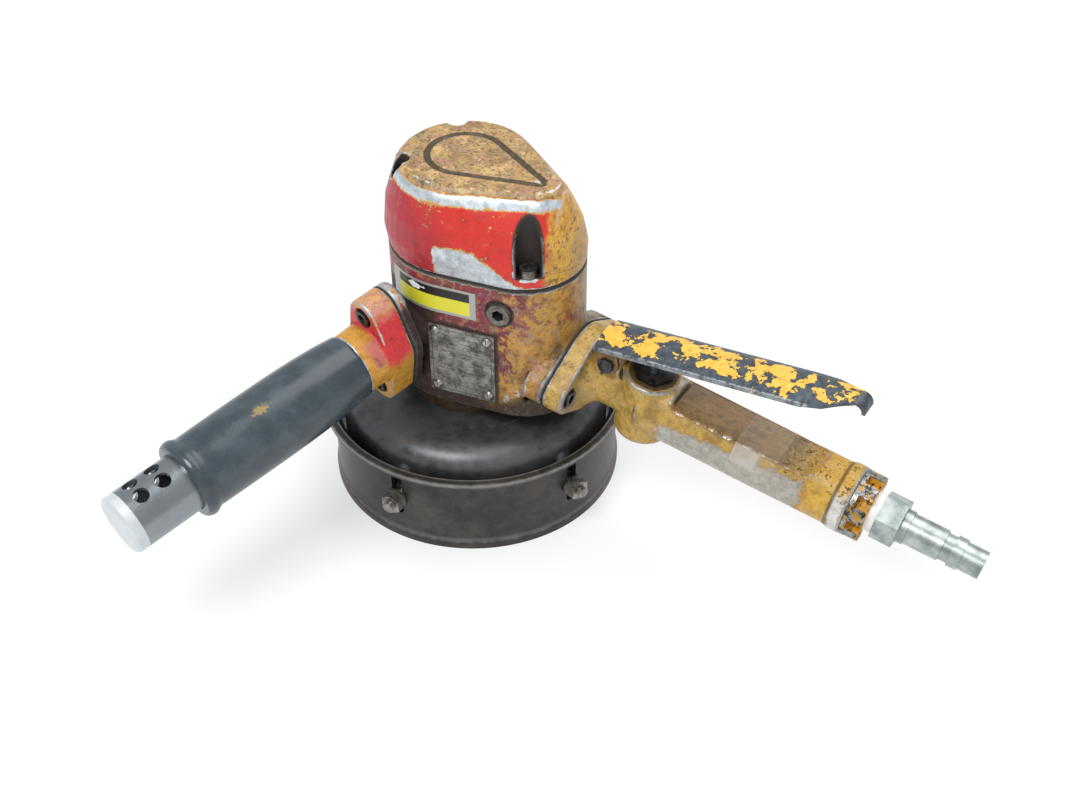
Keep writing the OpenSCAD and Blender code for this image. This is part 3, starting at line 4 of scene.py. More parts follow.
import bmesh
import bpy
import numpy as np
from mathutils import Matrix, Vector


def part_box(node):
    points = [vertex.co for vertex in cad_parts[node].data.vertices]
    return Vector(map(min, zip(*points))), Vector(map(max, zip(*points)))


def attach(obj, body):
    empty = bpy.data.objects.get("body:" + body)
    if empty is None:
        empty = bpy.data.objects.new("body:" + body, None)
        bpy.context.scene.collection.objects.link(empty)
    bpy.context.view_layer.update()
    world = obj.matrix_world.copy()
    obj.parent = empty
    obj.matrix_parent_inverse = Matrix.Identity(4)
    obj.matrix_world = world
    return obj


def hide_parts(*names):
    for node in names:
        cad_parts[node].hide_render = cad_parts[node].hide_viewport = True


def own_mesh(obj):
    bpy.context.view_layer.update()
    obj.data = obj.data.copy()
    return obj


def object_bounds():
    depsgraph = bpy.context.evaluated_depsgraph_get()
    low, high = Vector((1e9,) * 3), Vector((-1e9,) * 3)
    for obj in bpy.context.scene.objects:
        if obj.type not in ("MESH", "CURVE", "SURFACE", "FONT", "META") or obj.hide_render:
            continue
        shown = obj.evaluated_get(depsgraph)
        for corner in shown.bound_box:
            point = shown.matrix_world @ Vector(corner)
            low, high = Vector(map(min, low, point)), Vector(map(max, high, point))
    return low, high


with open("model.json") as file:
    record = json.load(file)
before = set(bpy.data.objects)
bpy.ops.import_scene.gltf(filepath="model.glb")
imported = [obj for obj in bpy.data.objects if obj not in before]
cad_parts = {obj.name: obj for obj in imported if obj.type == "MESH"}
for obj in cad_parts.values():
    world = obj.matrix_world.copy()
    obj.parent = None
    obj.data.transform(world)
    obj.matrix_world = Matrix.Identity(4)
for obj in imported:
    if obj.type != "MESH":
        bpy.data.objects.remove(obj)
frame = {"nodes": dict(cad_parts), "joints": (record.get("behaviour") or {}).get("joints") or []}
cad_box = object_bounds()
scene = bpy.context.scene
scene.view_settings.view_transform = "Standard"


# The stage: a pale table, two broad soft lamps and a bright room, seen from the
# front and well above, with a lens of about 50 mm.
def put_lamp(name, place, aim, size, power):
    """A round area lamp at a place, turned to what it lights."""
    lamp = bpy.data.lights.new(name, "AREA")
    lamp.shape, lamp.size, lamp.energy = "DISK", size, power
    holder = bpy.data.objects.new(name, lamp)
    holder.location = place
    holder.rotation_euler = (Vector(aim) - Vector(place)).to_track_quat("-Z", "Y").to_euler()
    scene.collection.objects.link(holder)


def set_camera():
    """The camera, where the photographer stood."""
    eye = bpy.data.cameras.new("camera")
    eye.lens, eye.sensor_width = 50, 36
    holder = bpy.data.objects.new("camera", eye)
    holder.location = (0, -0.68849, 0.58392)
    holder.rotation_euler = [math.radians(turn) for turn in (49.5985, 0.2718, -3.4339)]
    scene.collection.objects.link(holder)
    scene.camera = holder


def lay_floor(level):
    """A wide flat table top at a level."""
    table = bpy.data.meshes.new("floor")
    far = 6.0
    table.from_pydata([(-far, -far, level), (far, -far, level), (far, far, level), (-far, far, level)], [],
                      [(0, 1, 2, 3)])
    floor = bpy.data.objects.new("floor", table)
    scene.collection.objects.link(floor)
    return floor


class Lay:
    """A value, colour or vector of a finish: one socket of its nodes, which sums and products extend."""

    def __init__(self, tree, socket=None):
        self.tree, self.socket = tree, socket

    def node(self, kind, inputs=None, out=0, stops=None, **settings):
        made = self.tree.nodes.new("ShaderNode" + kind)
        for key, value in settings.items():
            setattr(made, key, value)
        if stops:
            ramp = made.color_ramp.elements
            while len(ramp) < len(stops):
                ramp.new(0.5)
            for point, (position, colour) in zip(ramp, stops):
                point.position, point.color = position, colour
        for key, value in (inputs or {}).items():
            if isinstance(value, Lay):
                self.tree.links.new(value.socket, made.inputs[key])
            else:
                made.inputs[key].default_value = value
        return Lay(self.tree, made.outputs[out] if made.outputs else None)

    def sum(self, operation, first, second):
        return self.node("Math", {0: first, 1: second}, operation=operation)

    def __add__(self, other): return self.sum("ADD", self, other)
    def __radd__(self, other): return self.sum("ADD", other, self)
    def __sub__(self, other): return self.sum("SUBTRACT", self, other)
    def __rsub__(self, other): return self.sum("SUBTRACT", other, self)
    def __mul__(self, other): return self.sum("MULTIPLY", self, other)
    def __rmul__(self, other): return self.sum("MULTIPLY", other, self)
    def __neg__(self): return self.sum("MULTIPLY", self, -1.0)
    def most(self, other): return self.sum("MAXIMUM", self, other)
    def least(self, other): return self.sum("MINIMUM", self, other)
    def size(self): return self.node("Math", {0: self}, operation="ABSOLUTE")
    def root(self): return self.node("Math", {0: self}, operation="SQRT")
    def wave(self): return self.node("Math", {0: self}, operation="SINE")

    def rise(self, low, high):
        """0 below low, 1 above high, and a soft step between them."""
        return self.node("MapRange", {"Value": self, 1: low, 2: high, 3: 0.0, 4: 1.0},
                         interpolation_type="SMOOTHSTEP")

    def fall(self, low, high):
        return 1 - self.rise(low, high)

    def cover(self, under, over):
        """The colour over laid on the colour under where this value is 1."""
        return self.node("Mix", {0: self, 6: under, 7: over}, out=2, data_type="RGBA")

    def along(self, direction):
        """How far this place lies in a direction."""
        return self.node("VectorMath", {0: self, 1: direction}, out="Value", operation="DOT_PRODUCT")

    def spots(self, size, detail=3.0, rough=0.55, shift=(0, 0, 0), warp=0.0):
        """Cloudy noise with spots of about that size in millimetres."""
        place = self.node("VectorMath", {0: self, 1: shift}, operation="ADD")
        grain = {"Scale": 1 / size, "Detail": detail, "Roughness": rough, "Distortion": warp}
        return self.node("TexNoise", {"Vector": place} | grain)

    def stretched(self, scale):
        return self.node("VectorMath", {0: self, 1: scale}, operation="MULTIPLY")

    def mark(self, name):
        """A value that the mesh carries at each of its points."""
        return self.node("Attribute", out="Fac", attribute_name=name)

    def far(self, point):
        """The distance from this place to a point."""
        return self.node("VectorMath", {0: self, 1: point}, out="Value", operation="DISTANCE")

    def streaks(self, turn, size, length):
        """Noise drawn out into lines of that width and relative length, turned by three angles."""
        drawn = self.node("Mapping", {"Vector": self, "Rotation": turn, "Scale": (length, 1.0, 1.0)},
                          vector_type="TEXTURE")
        return drawn.spots(size, 2, 0.6)


def hue(code):
    """A colour from its usual screen code."""
    shares = [int(code[i:i + 2], 16) / 255 for i in (0, 2, 4)]
    return (*[s / 12.92 if s <= 0.04045 else ((s + 0.055) / 1.055) ** 2.4 for s in shares], 1.0)


def new_finish(name):
    """An empty material, and the place of its points in millimetres."""
    material = bpy.data.materials.new(name)
    material.use_nodes = True
    material.node_tree.nodes.clear()
    start = Lay(material.node_tree)
    point = start.node("TexCoord", out="Object")
    return material, start.node("VectorMath", {0: point, 1: (1000, 1000, 1000)}, operation="MULTIPLY")


def close_finish(place, colour, rough, metal=0.0, height=None, depth=0.0003, **more):
    """Joins a finish's colour, roughness, metal and relief to its shader."""
    inputs = {"Base Color": colour, "Roughness": rough, "Metallic": metal}
    if height is not None:
        inputs["Normal"] = place.node("Bump", {"Height": height, "Distance": depth, "Strength": 1.0})
    shader = place.node("BsdfPrincipled", inputs | more)
    place.node("OutputMaterial", {"Surface": shader})


def floor_finish():
    """White table top: the camera and shiny pieces see it brighter than the light alone makes it."""
    material, place = new_finish("pale_table")
    cloud = place.spots(140, 2)
    tone = cloud.cover(hue("F4F6F8"), hue("FCFDFD"))
    rough = 0.6 + 0.2 * cloud
    lit = place.node("BsdfPrincipled", {"Base Color": tone, "Roughness": rough})
    glow = place.node("Emission", {"Color": (1, 1, 1, 1), "Strength": 1.0})
    rays = [place.node("LightPath", out=ray) for ray in ("Is Camera Ray", "Is Glossy Ray")]
    share = (rays[0] + rays[1]) * 0.55
    shader = place.node("MixShader", {0: share, 1: lit, 2: glow})
    place.node("OutputMaterial", {"Surface": shader})
    return material


set_camera()
put_lamp("key_lamp", (-0.55, -0.75, 1.5), (0, 0, 0.08), 0.75, 17)
put_lamp("top_lamp", (0.6, 0.35, 1.5), (0.05, 0, 0.05), 1.4, 13)
room = bpy.data.worlds.new("room")
room.use_nodes = True
room.node_tree.nodes["Background"].inputs["Color"].default_value = (0.97, 0.985, 1.0, 1.0)
room.node_tree.nodes["Background"].inputs["Strength"].default_value = 0.62
scene.world = room
floor = lay_floor(cad_box[0].z)
floor.data.materials.append(floor_finish())


# The motor housing: an aluminium casting with a round back and a nose, and a boss for
# each handle. Its red coat has gone crimson and shows an older yellow coat and bare metal.
def cast_skin(node, name, grain, rounds, spread=6):
    """A casting's skin: the node's solid in fine even faces, edges and corners softened as sand leaves
    them, with a mark for worn proud edges and one for hollows (dirt and painted shade) at each point."""
    shell = bmesh.new()
    shell.from_mesh(frame["nodes"][node].data)
    bmesh.ops.remove_doubles(shell, verts=shell.verts, dist=1e-6)
    mesh = bpy.data.meshes.new(name)
    shell.to_mesh(mesh)
    shell.free()
    rough_cast = bpy.data.objects.new(name + "_rough", mesh)
    scene.collection.objects.link(rough_cast)
    remesh = rough_cast.modifiers.new("grain", "REMESH")
    remesh.mode, remesh.voxel_size = "VOXEL", grain
    soft = rough_cast.modifiers.new("soft", "SMOOTH")
    soft.factor, soft.iterations = 0.5, rounds
    graph = bpy.context.evaluated_depsgraph_get()
    skin = bpy.data.meshes.new_from_object(rough_cast.evaluated_get(graph))
    bpy.data.objects.remove(rough_cast)
    skin.name = name
    skin.materials.clear()
    skin.shade_smooth()
    piece = bpy.data.objects.new(name, skin)
    scene.collection.objects.link(piece)
    mark_edges(skin, spread)
    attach(piece, "body")
    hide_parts(node)
    return piece


def mark_edges(mesh, spread):
    """Gives a fine mesh two marks: worn where it bulges, and where it is hollow, a mark for dirt and painted
    shade.
    """
    count = len(mesh.vertices)
    spots = np.empty(count * 3, np.float32)
    mesh.vertices.foreach_get("co", spots)
    spots = spots.reshape(-1, 3)
    normals = np.empty(count * 3, np.float32)
    mesh.vertex_normals.foreach_get("vector", normals)
    normals = normals.reshape(-1, 3)
    pairs = np.empty(len(mesh.edges) * 2, np.int64)
    mesh.edges.foreach_get("vertices", pairs)
    a, b = pairs.reshape(-1, 2).T
    links = np.maximum(np.bincount(a, minlength=count) + np.bincount(b, minlength=count), 1)
    step = spots[a] - spots[b]
    step /= np.maximum(np.linalg.norm(step, axis=1, keepdims=True), 1e-9)
    bulge = np.bincount(a, (normals[a] * step).sum(1), count)
    bulge -= np.bincount(b, (normals[b] * step).sum(1), count)
    bulge /= links
    for _ in range(spread):
        around = (np.bincount(a, bulge[b], count) + np.bincount(b, bulge[a], count)) / links
        bulge = 0.5 * bulge + 0.5 * around
    # The hollow mark carries dirt and painted shade.
    for name, value in (("worn", bulge), ("hollow_dirt_and_shade", -bulge)):
        layer = mesh.attributes.new(name, "FLOAT", "POINT")
        layer.data.foreach_set("value", np.clip(value * spread, 0, 1).astype(np.float32))


def corners(node):
    """The lowest and the highest corner of a node's box, in millimetres."""
    low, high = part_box(node)
    return low * 1000, high * 1000


# Directions on the castings: along and out of the nameplate's face, across the nose to the far side,
# along the nose, up, and level along the throttle handle.
FLANK, FRONT = (0.9082, -0.4184, 0), (-0.4184, -0.9082, 0)
FAR_SIDE, NOSE_LINE = (0.643, 0.766, 0), (0.766, -0.643, 0)
UP = (0, 0, 1)
THROTTLE_LINE = (0.8192, -0.5736, 0)
HOUSING_TOP = corners("motor_housing")[1].z
PLATE_MIDDLE = sum(corners("nameplate"), Vector()) / 2
PLATE_SIDE, PLATE_UP = PLATE_MIDDLE.dot(FLANK), PLATE_MIDDLE.z
PLUG_FACE = (14.0, -54.9, 108)


def coat_finish(name, paint, under, chips, dirt, lost=None, dirt_and_shade=None, metal=("8A949C", "C8CFD4")):
    """Old paint in two coats on cast metal: worn off proud edges, chipped and scratched, dark in hollows
    (dirt and painted shade).
    paint and lost give the coat's colour and its loss, and the last function its dirt and painted shade, from
    the place and three noises."""
    material, place = new_finish(name)
    broad, mid = place.spots(17, 3, 0.6), place.spots(4.6, 5, 0.65, (31, 7, 3))
    fine, grit = place.spots(1.3, 4, 0.7, (5, 50, 9)), place.spots(0.35, 2, 0.6)
    cluster = place.spots(24, 2, 0.5, (11, 4, 60)).rise(0.44, 0.66)
    noises = (place, broad, mid, fine)
    shade = (mid - 0.5) * 0.9 + (fine - 0.5) * 0.6 + (broad - 0.5) * 0.7
    colour = (shade.rise(0.0, 0.34) * 0.6).cover(paint(*noises), hue("46301C"))
    colour = ((-shade).rise(0.06, 0.36) * 0.25).cover(colour, under)
    pit = (fine * 0.6 + grit * 0.4).rise(0.585, 0.63) * mid.rise(0.44, 0.56) * (0.35 + dirt)
    colour = pit.cover(colour, hue("33261C"))
    loss = place.mark("worn") * 1.55 + (mid - 0.5) * 1.3 + (fine - 0.5) * 0.7
    if lost is not None:
        loss = loss.most(lost(*noises))
    loss = loss.most(((fine * 0.5 + mid * 0.5 - 0.71 + 0.15 * chips * cluster) * 4 + 0.5).least(0.58))
    scratch = place.streaks((0.4, 0.9, 0.5), 0.7, 14).most(place.streaks((1.9, 0.3, 1.2), 0.6, 10))
    loss = loss.most((scratch - 0.78 + 0.08 * chips * cluster) * 3 + 0.5)
    bare = loss.rise(0.56, 0.62)
    fringe = (loss + (cluster - 0.4) * 0.08).rise(0.47, 0.52)
    colour = fringe.cover(colour, (mid.rise(0.35, 0.65) * 0.5).cover(under, hue("8A6234")))
    colour = bare.cover(colour, (mid * 0.7 + fine * 0.3).rise(0.3, 0.7).cover(hue(metal[0]), hue(metal[1])))
    # The dark colour: stains and dirt, with painted shade in the hollows and in the shade the last function
    # adds.
    hollow = place.mark("hollow_dirt_and_shade") * 1.6 + (mid - 0.5) * 0.7 + (broad - 0.5) * 0.5
    stain = (broad * 0.5 + mid * 0.5).rise(0.58 - 0.06 * dirt, 0.74 - 0.06 * dirt) * (0.75 * dirt)
    dark = hollow.rise(0.40, 0.8).most(stain)
    if dirt_and_shade is not None:
        dark = dark.most(dirt_and_shade(*noises))
    colour = (dark * 0.9).cover(colour, hue("231C19"))
    rough = 0.30 + 0.22 * mid + 0.28 * dark
    height = loss.fall(0.42, 0.58) * 0.5 + (mid - 0.5) * 0.4 + fine * 0.2 + grit * 0.08 - pit * 0.2
    close_finish(place, colour, rough, bare * (1 - dark) * 0.6, height, 0.0003)
    return material


def seam(place, level, width):
    """1 at a level of the upright axis, falling away within a width."""
    return (place.along(UP) - level).size().fall(0.0, width)


OLD_YELLOW = hue("D39A3C")


def housing_paint(place, broad, mid, fine):
    """Crimson on the left that turns to mustard towards the nose, and greasy on the far side."""
    side, up = place.along(FLANK), place.along(UP)
    turn = side * 0.024 - up * 0.006 + (broad - 0.5) * 1.9 + (mid - 0.5) * 1.1
    crimson = (broad * 0.6 + mid * 0.4).rise(0.38, 0.60).cover(hue("541C2A"), hue("942A3E"))
    mustard = (mid * 0.6 + broad * 0.4).rise(0.38, 0.60).cover(hue("8A6026"), hue("C4923E"))
    colour = turn.rise(0.26, 0.46).cover(crimson, mustard)
    for size, shift, share, stain in ((6, (60, 3, 8), 0.75, "6B4A20"), (9, (2, 90, 5), 0.7, "7A3048"),
                                      (5, (7, 7, 80), 0.6, "8E7E6A"), (4, (40, 1, 33), 0.25, "D2B070")):
        colour = (place.spots(size, 4, 0.68, shift).rise(0.54, 0.62) * share).cover(colour, hue(stain))
    greasy = (place.along(FAR_SIDE) + (broad - 0.5) * 26 + (mid - 0.5) * 10).rise(-4, 16) * 0.75
    return greasy.cover(colour, mid.rise(0.3, 0.7).cover(hue("564A3C"), hue("94866E")))


def housing_lost(place, broad, mid, fine):
    """Bare metal in flakes, low on the nose."""
    low = (place.along(UP) + (broad - 0.5) * 30).fall(52, 84) * place.along(FLANK).rise(32, 40)
    return low * ((mid - 0.5) * 2.2 + (fine - 0.5) * 0.8 + 0.43)


def housing_dirt_and_shade(place, broad, mid, fine):
    """Dark rim at the cap's joint, painted shade low at the foot and beside the left boss, dirt round the
    plate and the plug, and darker low by the throttle boss.
    """
    side, front, up = place.along(FLANK), place.along(FRONT), place.along(UP)
    drift = (broad - 0.5) * 26 + (mid - 0.5) * 14
    # A dark joint under the cap, and painted shade low on the housing above the guard.
    rims = seam(place, HOUSING_TOP + 0.3, 4).most((up + drift).fall(38, 66))
    plate_edge = ((side - PLATE_SIDE).size() - 19.25).most((up - PLATE_UP).size() - 22.5)
    plate = (plate_edge + (mid - 0.5) * 8).fall(-1.0, 6.0) * front.rise(36, 42)
    plug = place.far(PLUG_FACE).fall(7.2, 9.6)
    # Painted shade between the left boss and the label.
    left = (side + drift).fall(-14, 8) * (up + drift * 0.5).fall(100, 114) * front.rise(10, 26)
    # Darker low by the throttle boss.
    boss = (place.along(THROTTLE_LINE) + drift).rise(56, 72) * (up + drift * 0.5).fall(80, 104) * 0.55
    amount = rims.most(plate).most(plug).most(left).most(boss)
    return (amount * (0.75 + 1.6 * (mid - 0.35))).rise(0.18, 0.78)


housing = cast_skin("motor_housing", "housing_casting", 0.0011, 7)
housing.data.materials.append(
    coat_finish("housing_coat", housing_paint, OLD_YELLOW, 0.35, 0.6, housing_lost, housing_dirt_and_shade))


# The governor cap: an aluminium casting on the housing, held by four socket screws in
# recesses. Its front is still bright red, its top and nose worn to the yellow coat.
CAP_TOP = corners("housing_cap")[1].z
NOSE_SCREWS = (29.93, -55.57, 0), (59.92, -19.83, 0)
BACK_SCREWS = (-34.4, -2.4, 0), (-3.6, 34.3, 0)


def over_cap(place):
    """How far a place lies above the cap's top: less than 0 on its sides."""
    return place.along(UP) - CAP_TOP


def cap_groove(place):
    """1 in the groove of the cap's top, which runs round a drop-shaped field."""
    along, across = place.along(NOSE_LINE), place.along(FAR_SIDE).size()
    flat = place.stretched((1, 1, 0))
    flank = (along - across * 0.39).rise(-0.6, 0.6)
    edge = flank * (along * 0.363 + across * 0.932) + (1 - flank) * flat.far((0, 0, 0))
    groove = edge.rise(18.2, 18.7) * edge.fall(21.9, 22.4) * along.fall(50.5, 52)
    return groove * over_cap(place).rise(-4.1, -2.6)


def cap_holes(place, mid):
    """1 inside the four recesses of the cap's screws: painted shade there, with oil and dust turned black."""
    up, flat = over_cap(place), place.stretched((1, 1, 0))
    nose = flat.far(NOSE_SCREWS[0]).least(flat.far(NOSE_SCREWS[1])).fall(7.4, 9.0)
    back = flat.far(BACK_SCREWS[0]).least(flat.far(BACK_SCREWS[1])).fall(5.1, 6.0)
    return nose.most(back) * (up + (mid - 0.5) * 6).fall(-2.6, 1.4) * up.rise(-42.6, -41.8)


def cap_paint(place, broad, mid, fine):
    """Red sides, mustard on the nose and at the back, a tan top, and black recesses."""
    side, front, up = place.along(FLANK), place.along(FRONT), over_cap(place)
    top = (up + (mid - 0.5) * 3).rise(-4.1, -2.1)
    nose = (side + (mid - 0.5) * 8 + (fine - 0.5) * 3).rise(56, 60)
    rear = (front + (broad - 0.5) * 30 + (mid - 0.5) * 10).fall(-14, 0)
    glow = side * 0.02 + (broad - 0.5) * 1.1 + (up + 23.6) * 0.014 + (mid - 0.5) * 0.5
    red = glow.rise(-0.35, 0.30).cover(hue("A4212F"), hue("C92820"))
    mustard = (mid * 0.6 + broad * 0.4).rise(0.38, 0.60).cover(hue("A8762A"), hue("DDAE44"))
    mustard = (place.spots(3, 4, 0.7, (9, 3, 50)).rise(0.55, 0.61) * 0.8).cover(mustard, hue("5E4A34"))
    mustard = ((side + (broad - 0.5) * 14).rise(66, 74) * 0.7).cover(mustard, hue("6E6456"))
    tan = (mid * 0.5 + broad * 0.5).rise(0.38, 0.60).cover(hue("7E6646"), hue("BE9A60"))
    for size, shift, share, stain in ((11, (3, 44, 9), 0.75, "8A8068"), (8, (70, 2, 4), 0.55, "A8746A"),
                                      (9, (30, 71, 2), 0.7, "CFAE74"), (2, (8, 15, 66), 0.8, "54422E")):
        tan = (place.spots(size, 4, 0.66, shift).rise(0.53, 0.62) * share).cover(tan, hue(stain))
    painted = top.cover(nose.most(rear).cover(red, mustard), tan)
    # The recesses near-black: painted shade, with oil and dust.
    return cap_holes(place, mid).cover(painted, hue("2B2825"))


def cap_lost(place, broad, mid, fine):
    """Bare metal under the top's edge, low on the front and by the nose, and chips on the red."""
    side, front, up = place.along(FLANK), place.along(FRONT), over_cap(place)
    ragged = (mid - 0.5) * 6 + (fine - 0.5) * 2.5
    band = (up + ragged).rise(-13.6, -6.6) * (up + ragged * 0.5).fall(-4.1, -0.1)
    band = band * (front + ragged * 2).rise(8, 22)
    slope = up + (side - 21).most(0.0) * 0.62 + ragged
    patch = slope.fall(-32.6, -24.6) * (side + ragged).rise(-5, 1)
    patch = patch * front.rise(25, 30) * (side + ragged).fall(56, 64)
    strip = (side + ragged - 61).size().fall(0, 5) * (up + ragged * 2).rise(-27.6, -15.6) * 0.9
    chips = place.spots(3.4, 3, 0.55, (5, 77, 2)).rise(0.58, 0.72)
    chips = chips * up.rise(-29.6, -15.6) * up.fall(-6.6, -3.6) * front.rise(8, 22)
    return (band.most(patch).most(strip) * 0.66).most(chips * 0.58)


def cap_dirt_and_shade(place, broad, mid, fine):
    """Dirt in the joint and the groove, dirt and painted shade in the recesses, and stains on the top."""
    rim = (seam(place, HOUSING_TOP + 0.6, 2.2) * (0.5 + 1.1 * (mid - 0.2))).rise(0.35, 0.95)
    stains = over_cap(place).rise(-3.1, -1.6) * (mid * 0.55 + fine * 0.45).rise(0.55, 0.68) * 0.7
    return rim.most(stains).most(cap_holes(place, mid)).most(cap_groove(place) * 0.92)


cap = cast_skin("housing_cap", "cap_casting", 0.0008, 10)
cap.data.materials.append(coat_finish("cap_coat", cap_paint, OLD_YELLOW, 1.0, 0.35, cap_lost, cap_dirt_and_shade,
                                      ("9AA4AA", "DCE3E7")))


# Gaskets of oiled paper, pressed between the castings and dark at their edges.
def paper_finish():
    """Brown paper, dark with oil."""
    material, place = new_finish("oiled_paper")
    blot = place.spots(3, 4, 0.6)
    close_finish(place, blot.cover(hue("1C1815"), hue("4A3A2A")), 0.6 + 0.3 * blot, 0.0, blot, 0.0002)
    return material


def dress(finish, *nodes):
    """Gives CAD nodes a finish."""
    for node in nodes:
        piece = frame["nodes"][node]
        piece.data.materials.clear()
        piece.data.materials.append(finish)


dress(paper_finish(), "cap_gasket", "dead_gasket", "throttle_gasket")


# Screws, pins and plugs: alloy steel, blackened and worn bright at the edges, with oil and
# dust in their sockets.
def steel_finish(name, dark, bright, rough, wear=0.5, rust=0.0, metal=0.9):
    """Steel from a dark to a bright tone; wear makes it brighter and rust adds brown clouds."""
    material, place = new_finish(name)
    cloud, fleck = place.spots(6, 4, 0.6), place.spots(0.9, 4, 0.7, (9, 2, 4))
    scratch = place.stretched((0.25, 1.6, 3.0)).spots(1.2, 3, 0.7)
    tone = (cloud * 0.6 + fleck * 0.4 + 0.5 * (wear - 0.5)).rise(0.35, 0.75).cover(dark, bright)
    brown = (cloud * 0.5 + fleck * 0.5).rise(0.62 - 0.25 * rust, 0.80 - 0.2 * rust) * (rust > 0)
    tone = (brown * min(1.0, 0.4 + rust)).cover(tone, hue("4B2E1C"))
    matt = rough + 0.18 * (fleck - 0.5) + 0.2 * brown + 0.1 * (scratch - 0.5)
    relief = cloud * 0.4 + fleck * 0.3 + scratch * 0.2
    close_finish(place, tone, matt, metal * (1 - 0.7 * brown), relief, 0.00012)
    return material


black_screw = steel_finish("blackened_screw", hue("2B2B2D"), hue("77797C"), 0.42, 0.4, 0.3)
plug_steel = steel_finish("oil_plug_steel", hue("4A4644"), hue("A5A09A"), 0.36, 0.5, 0.2)
inner_steel = steel_finish("machined_steel", hue("7E8286"), hue("B9BDC0"), 0.28, 0.5)
dress(black_screw, "dead_screws", "throttle_screws", "guard_screws", "plunger_bushing", "lever_pin")
dress(steel_finish("neck_metal", hue("2E2620"), hue("6A5636"), 0.5, 0.5, 0.4, 0.4), "bearing_housing")
dress(plug_steel, "oil_plug", "cap_screws")
dress(inner_steel, "lower_bearing_outer", "lower_bearing_inner", "lower_bearing_balls", "bearing_retainer",
      "lower_end_plate", "cylinder_liner", "cylinder_dowel", "spindle_rotor", "upper_end_plate",
      "upper_bearing_outer", "upper_bearing_inner", "upper_bearing_balls", "bearing_nut", "governor_cage",
      "governor_cover", "governor_weight_a", "governor_weight_b", "governor_pins", "governor_stem",
      "governor_spring", "valve_spring", "wheel_flange", "throttle_plunger")


# Springs of the governor and the throttle valve: cold-wound wire with open ends. Each stands against
# a fixed seat and shortens when the stem or the valve is pushed towards it; here each is copied at rest.
moves = {joint["name"]: joint for joint in frame["joints"]}


def coil(node, body, joint):
    """The node's spring, copied to its own piece on a body; its seat and length along the joint's slide are
    worked out but not used.
    """
    push, travel = Vector(moves[joint]["axis"]), moves[joint]["range_m"][1]
    spring = bpy.data.objects.new(node + "_coil", frame["nodes"][node].data.copy())
    scene.collection.objects.link(spring)
    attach(spring, body)
    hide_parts(node)
    levels = [corner.co.dot(push) for corner in spring.data.vertices]
    seat, length = max(levels), max(levels) - min(levels)
    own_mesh(spring)


coil("governor_spring", "spindle", "stem_lift")
coil("valve_spring", "body", "valve_open")


# Vanes, seal, bushings and valve pieces inside: phenolic, rubber and brass.
def plain_finish(name, low, high, rough, metal=0.0, size=4):
    """A finish between two tones, with faint clouds of a size in millimetres."""
    material, place = new_finish(name)
    cloud, fleck = place.spots(size, 4, 0.6), place.spots(size / 6, 3, 0.6, (3, 8, 1))
    relief = cloud * 0.5 + fleck * 0.4
    close_finish(place, cloud.cover(low, high), rough + 0.2 * (fleck - 0.5), metal, relief, 0.0001)
    return material


dress(plain_finish("phenolic", hue("4A2A18"), hue("6B4024"), 0.5), "rotor_vanes")
dress(plain_finish("seal_rubber", hue("141414"), hue("262626"), 0.6), "spindle_seal")
dress(plain_finish("brass", hue("8A6A2A"), hue("B8954A"), 0.34, 0.9), "valve_seat", "throttle_valve")
dress(plain_finish("valve_cap_metal", hue("6E6658"), hue("9C9484"), 0.4, 0.8), "valve_cap")


# The nameplate: a blank aluminium plate held by four drive screws, scuffed and smudged.
def plate_finish():
    """Brushed aluminium with a dark frame and two ruled lines, smudged and dark round its screws."""
    material, place = new_finish("scuffed_plate")
    side, up = place.along(FLANK) - PLATE_SIDE, place.along(UP) - PLATE_UP
    cloud, fleck = place.spots(6, 4, 0.68), place.spots(1.1, 4, 0.7)
    brush = place.stretched((0.2, 0.2, 3.2)).spots(1.5, 3, 0.6)
    smudge = (cloud * 0.65 + fleck * 0.35).rise(0.42, 0.60)
    tone = (brush * 0.5 + fleck * 0.5).rise(0.35, 0.65).cover(hue("6E6D6A"), hue("B4B2AB"))
    border = (side.size() - 17.4).most(up.size() - 20.6).size().fall(0.1, 0.45)
    ruled = (up - 6).size().least((up + 6).size()).fall(0.1, 0.4) * side.size().fall(13.4, 13.8)
    tone = (border.most(ruled) * fleck.rise(0.36, 0.5) * 0.7).cover(tone, hue("2C2A29"))
    colour = (smudge * 0.85).cover(tone, hue("3A3230"))
    corner_a, corner_b = side.size() - 15.9, up.size() - 19.1
    halo = (corner_a * corner_a + corner_b * corner_b).root().fall(2.0, 4.2)
    colour = (halo * 0.8).cover(colour, hue("1F1B1A"))
    relief = fleck * 0.5 + brush * 0.3 - 0.4 * smudge
    close_finish(place, colour, 0.36 + 0.3 * smudge, 0.7 * (1 - 0.6 * smudge), relief, 0.00012)
    return material


dress(plate_finish(), "nameplate")
dress(steel_finish("drive_screw_steel", hue("8A8682"), hue("CECAC4"), 0.32, 0.6), "nameplate_screws")


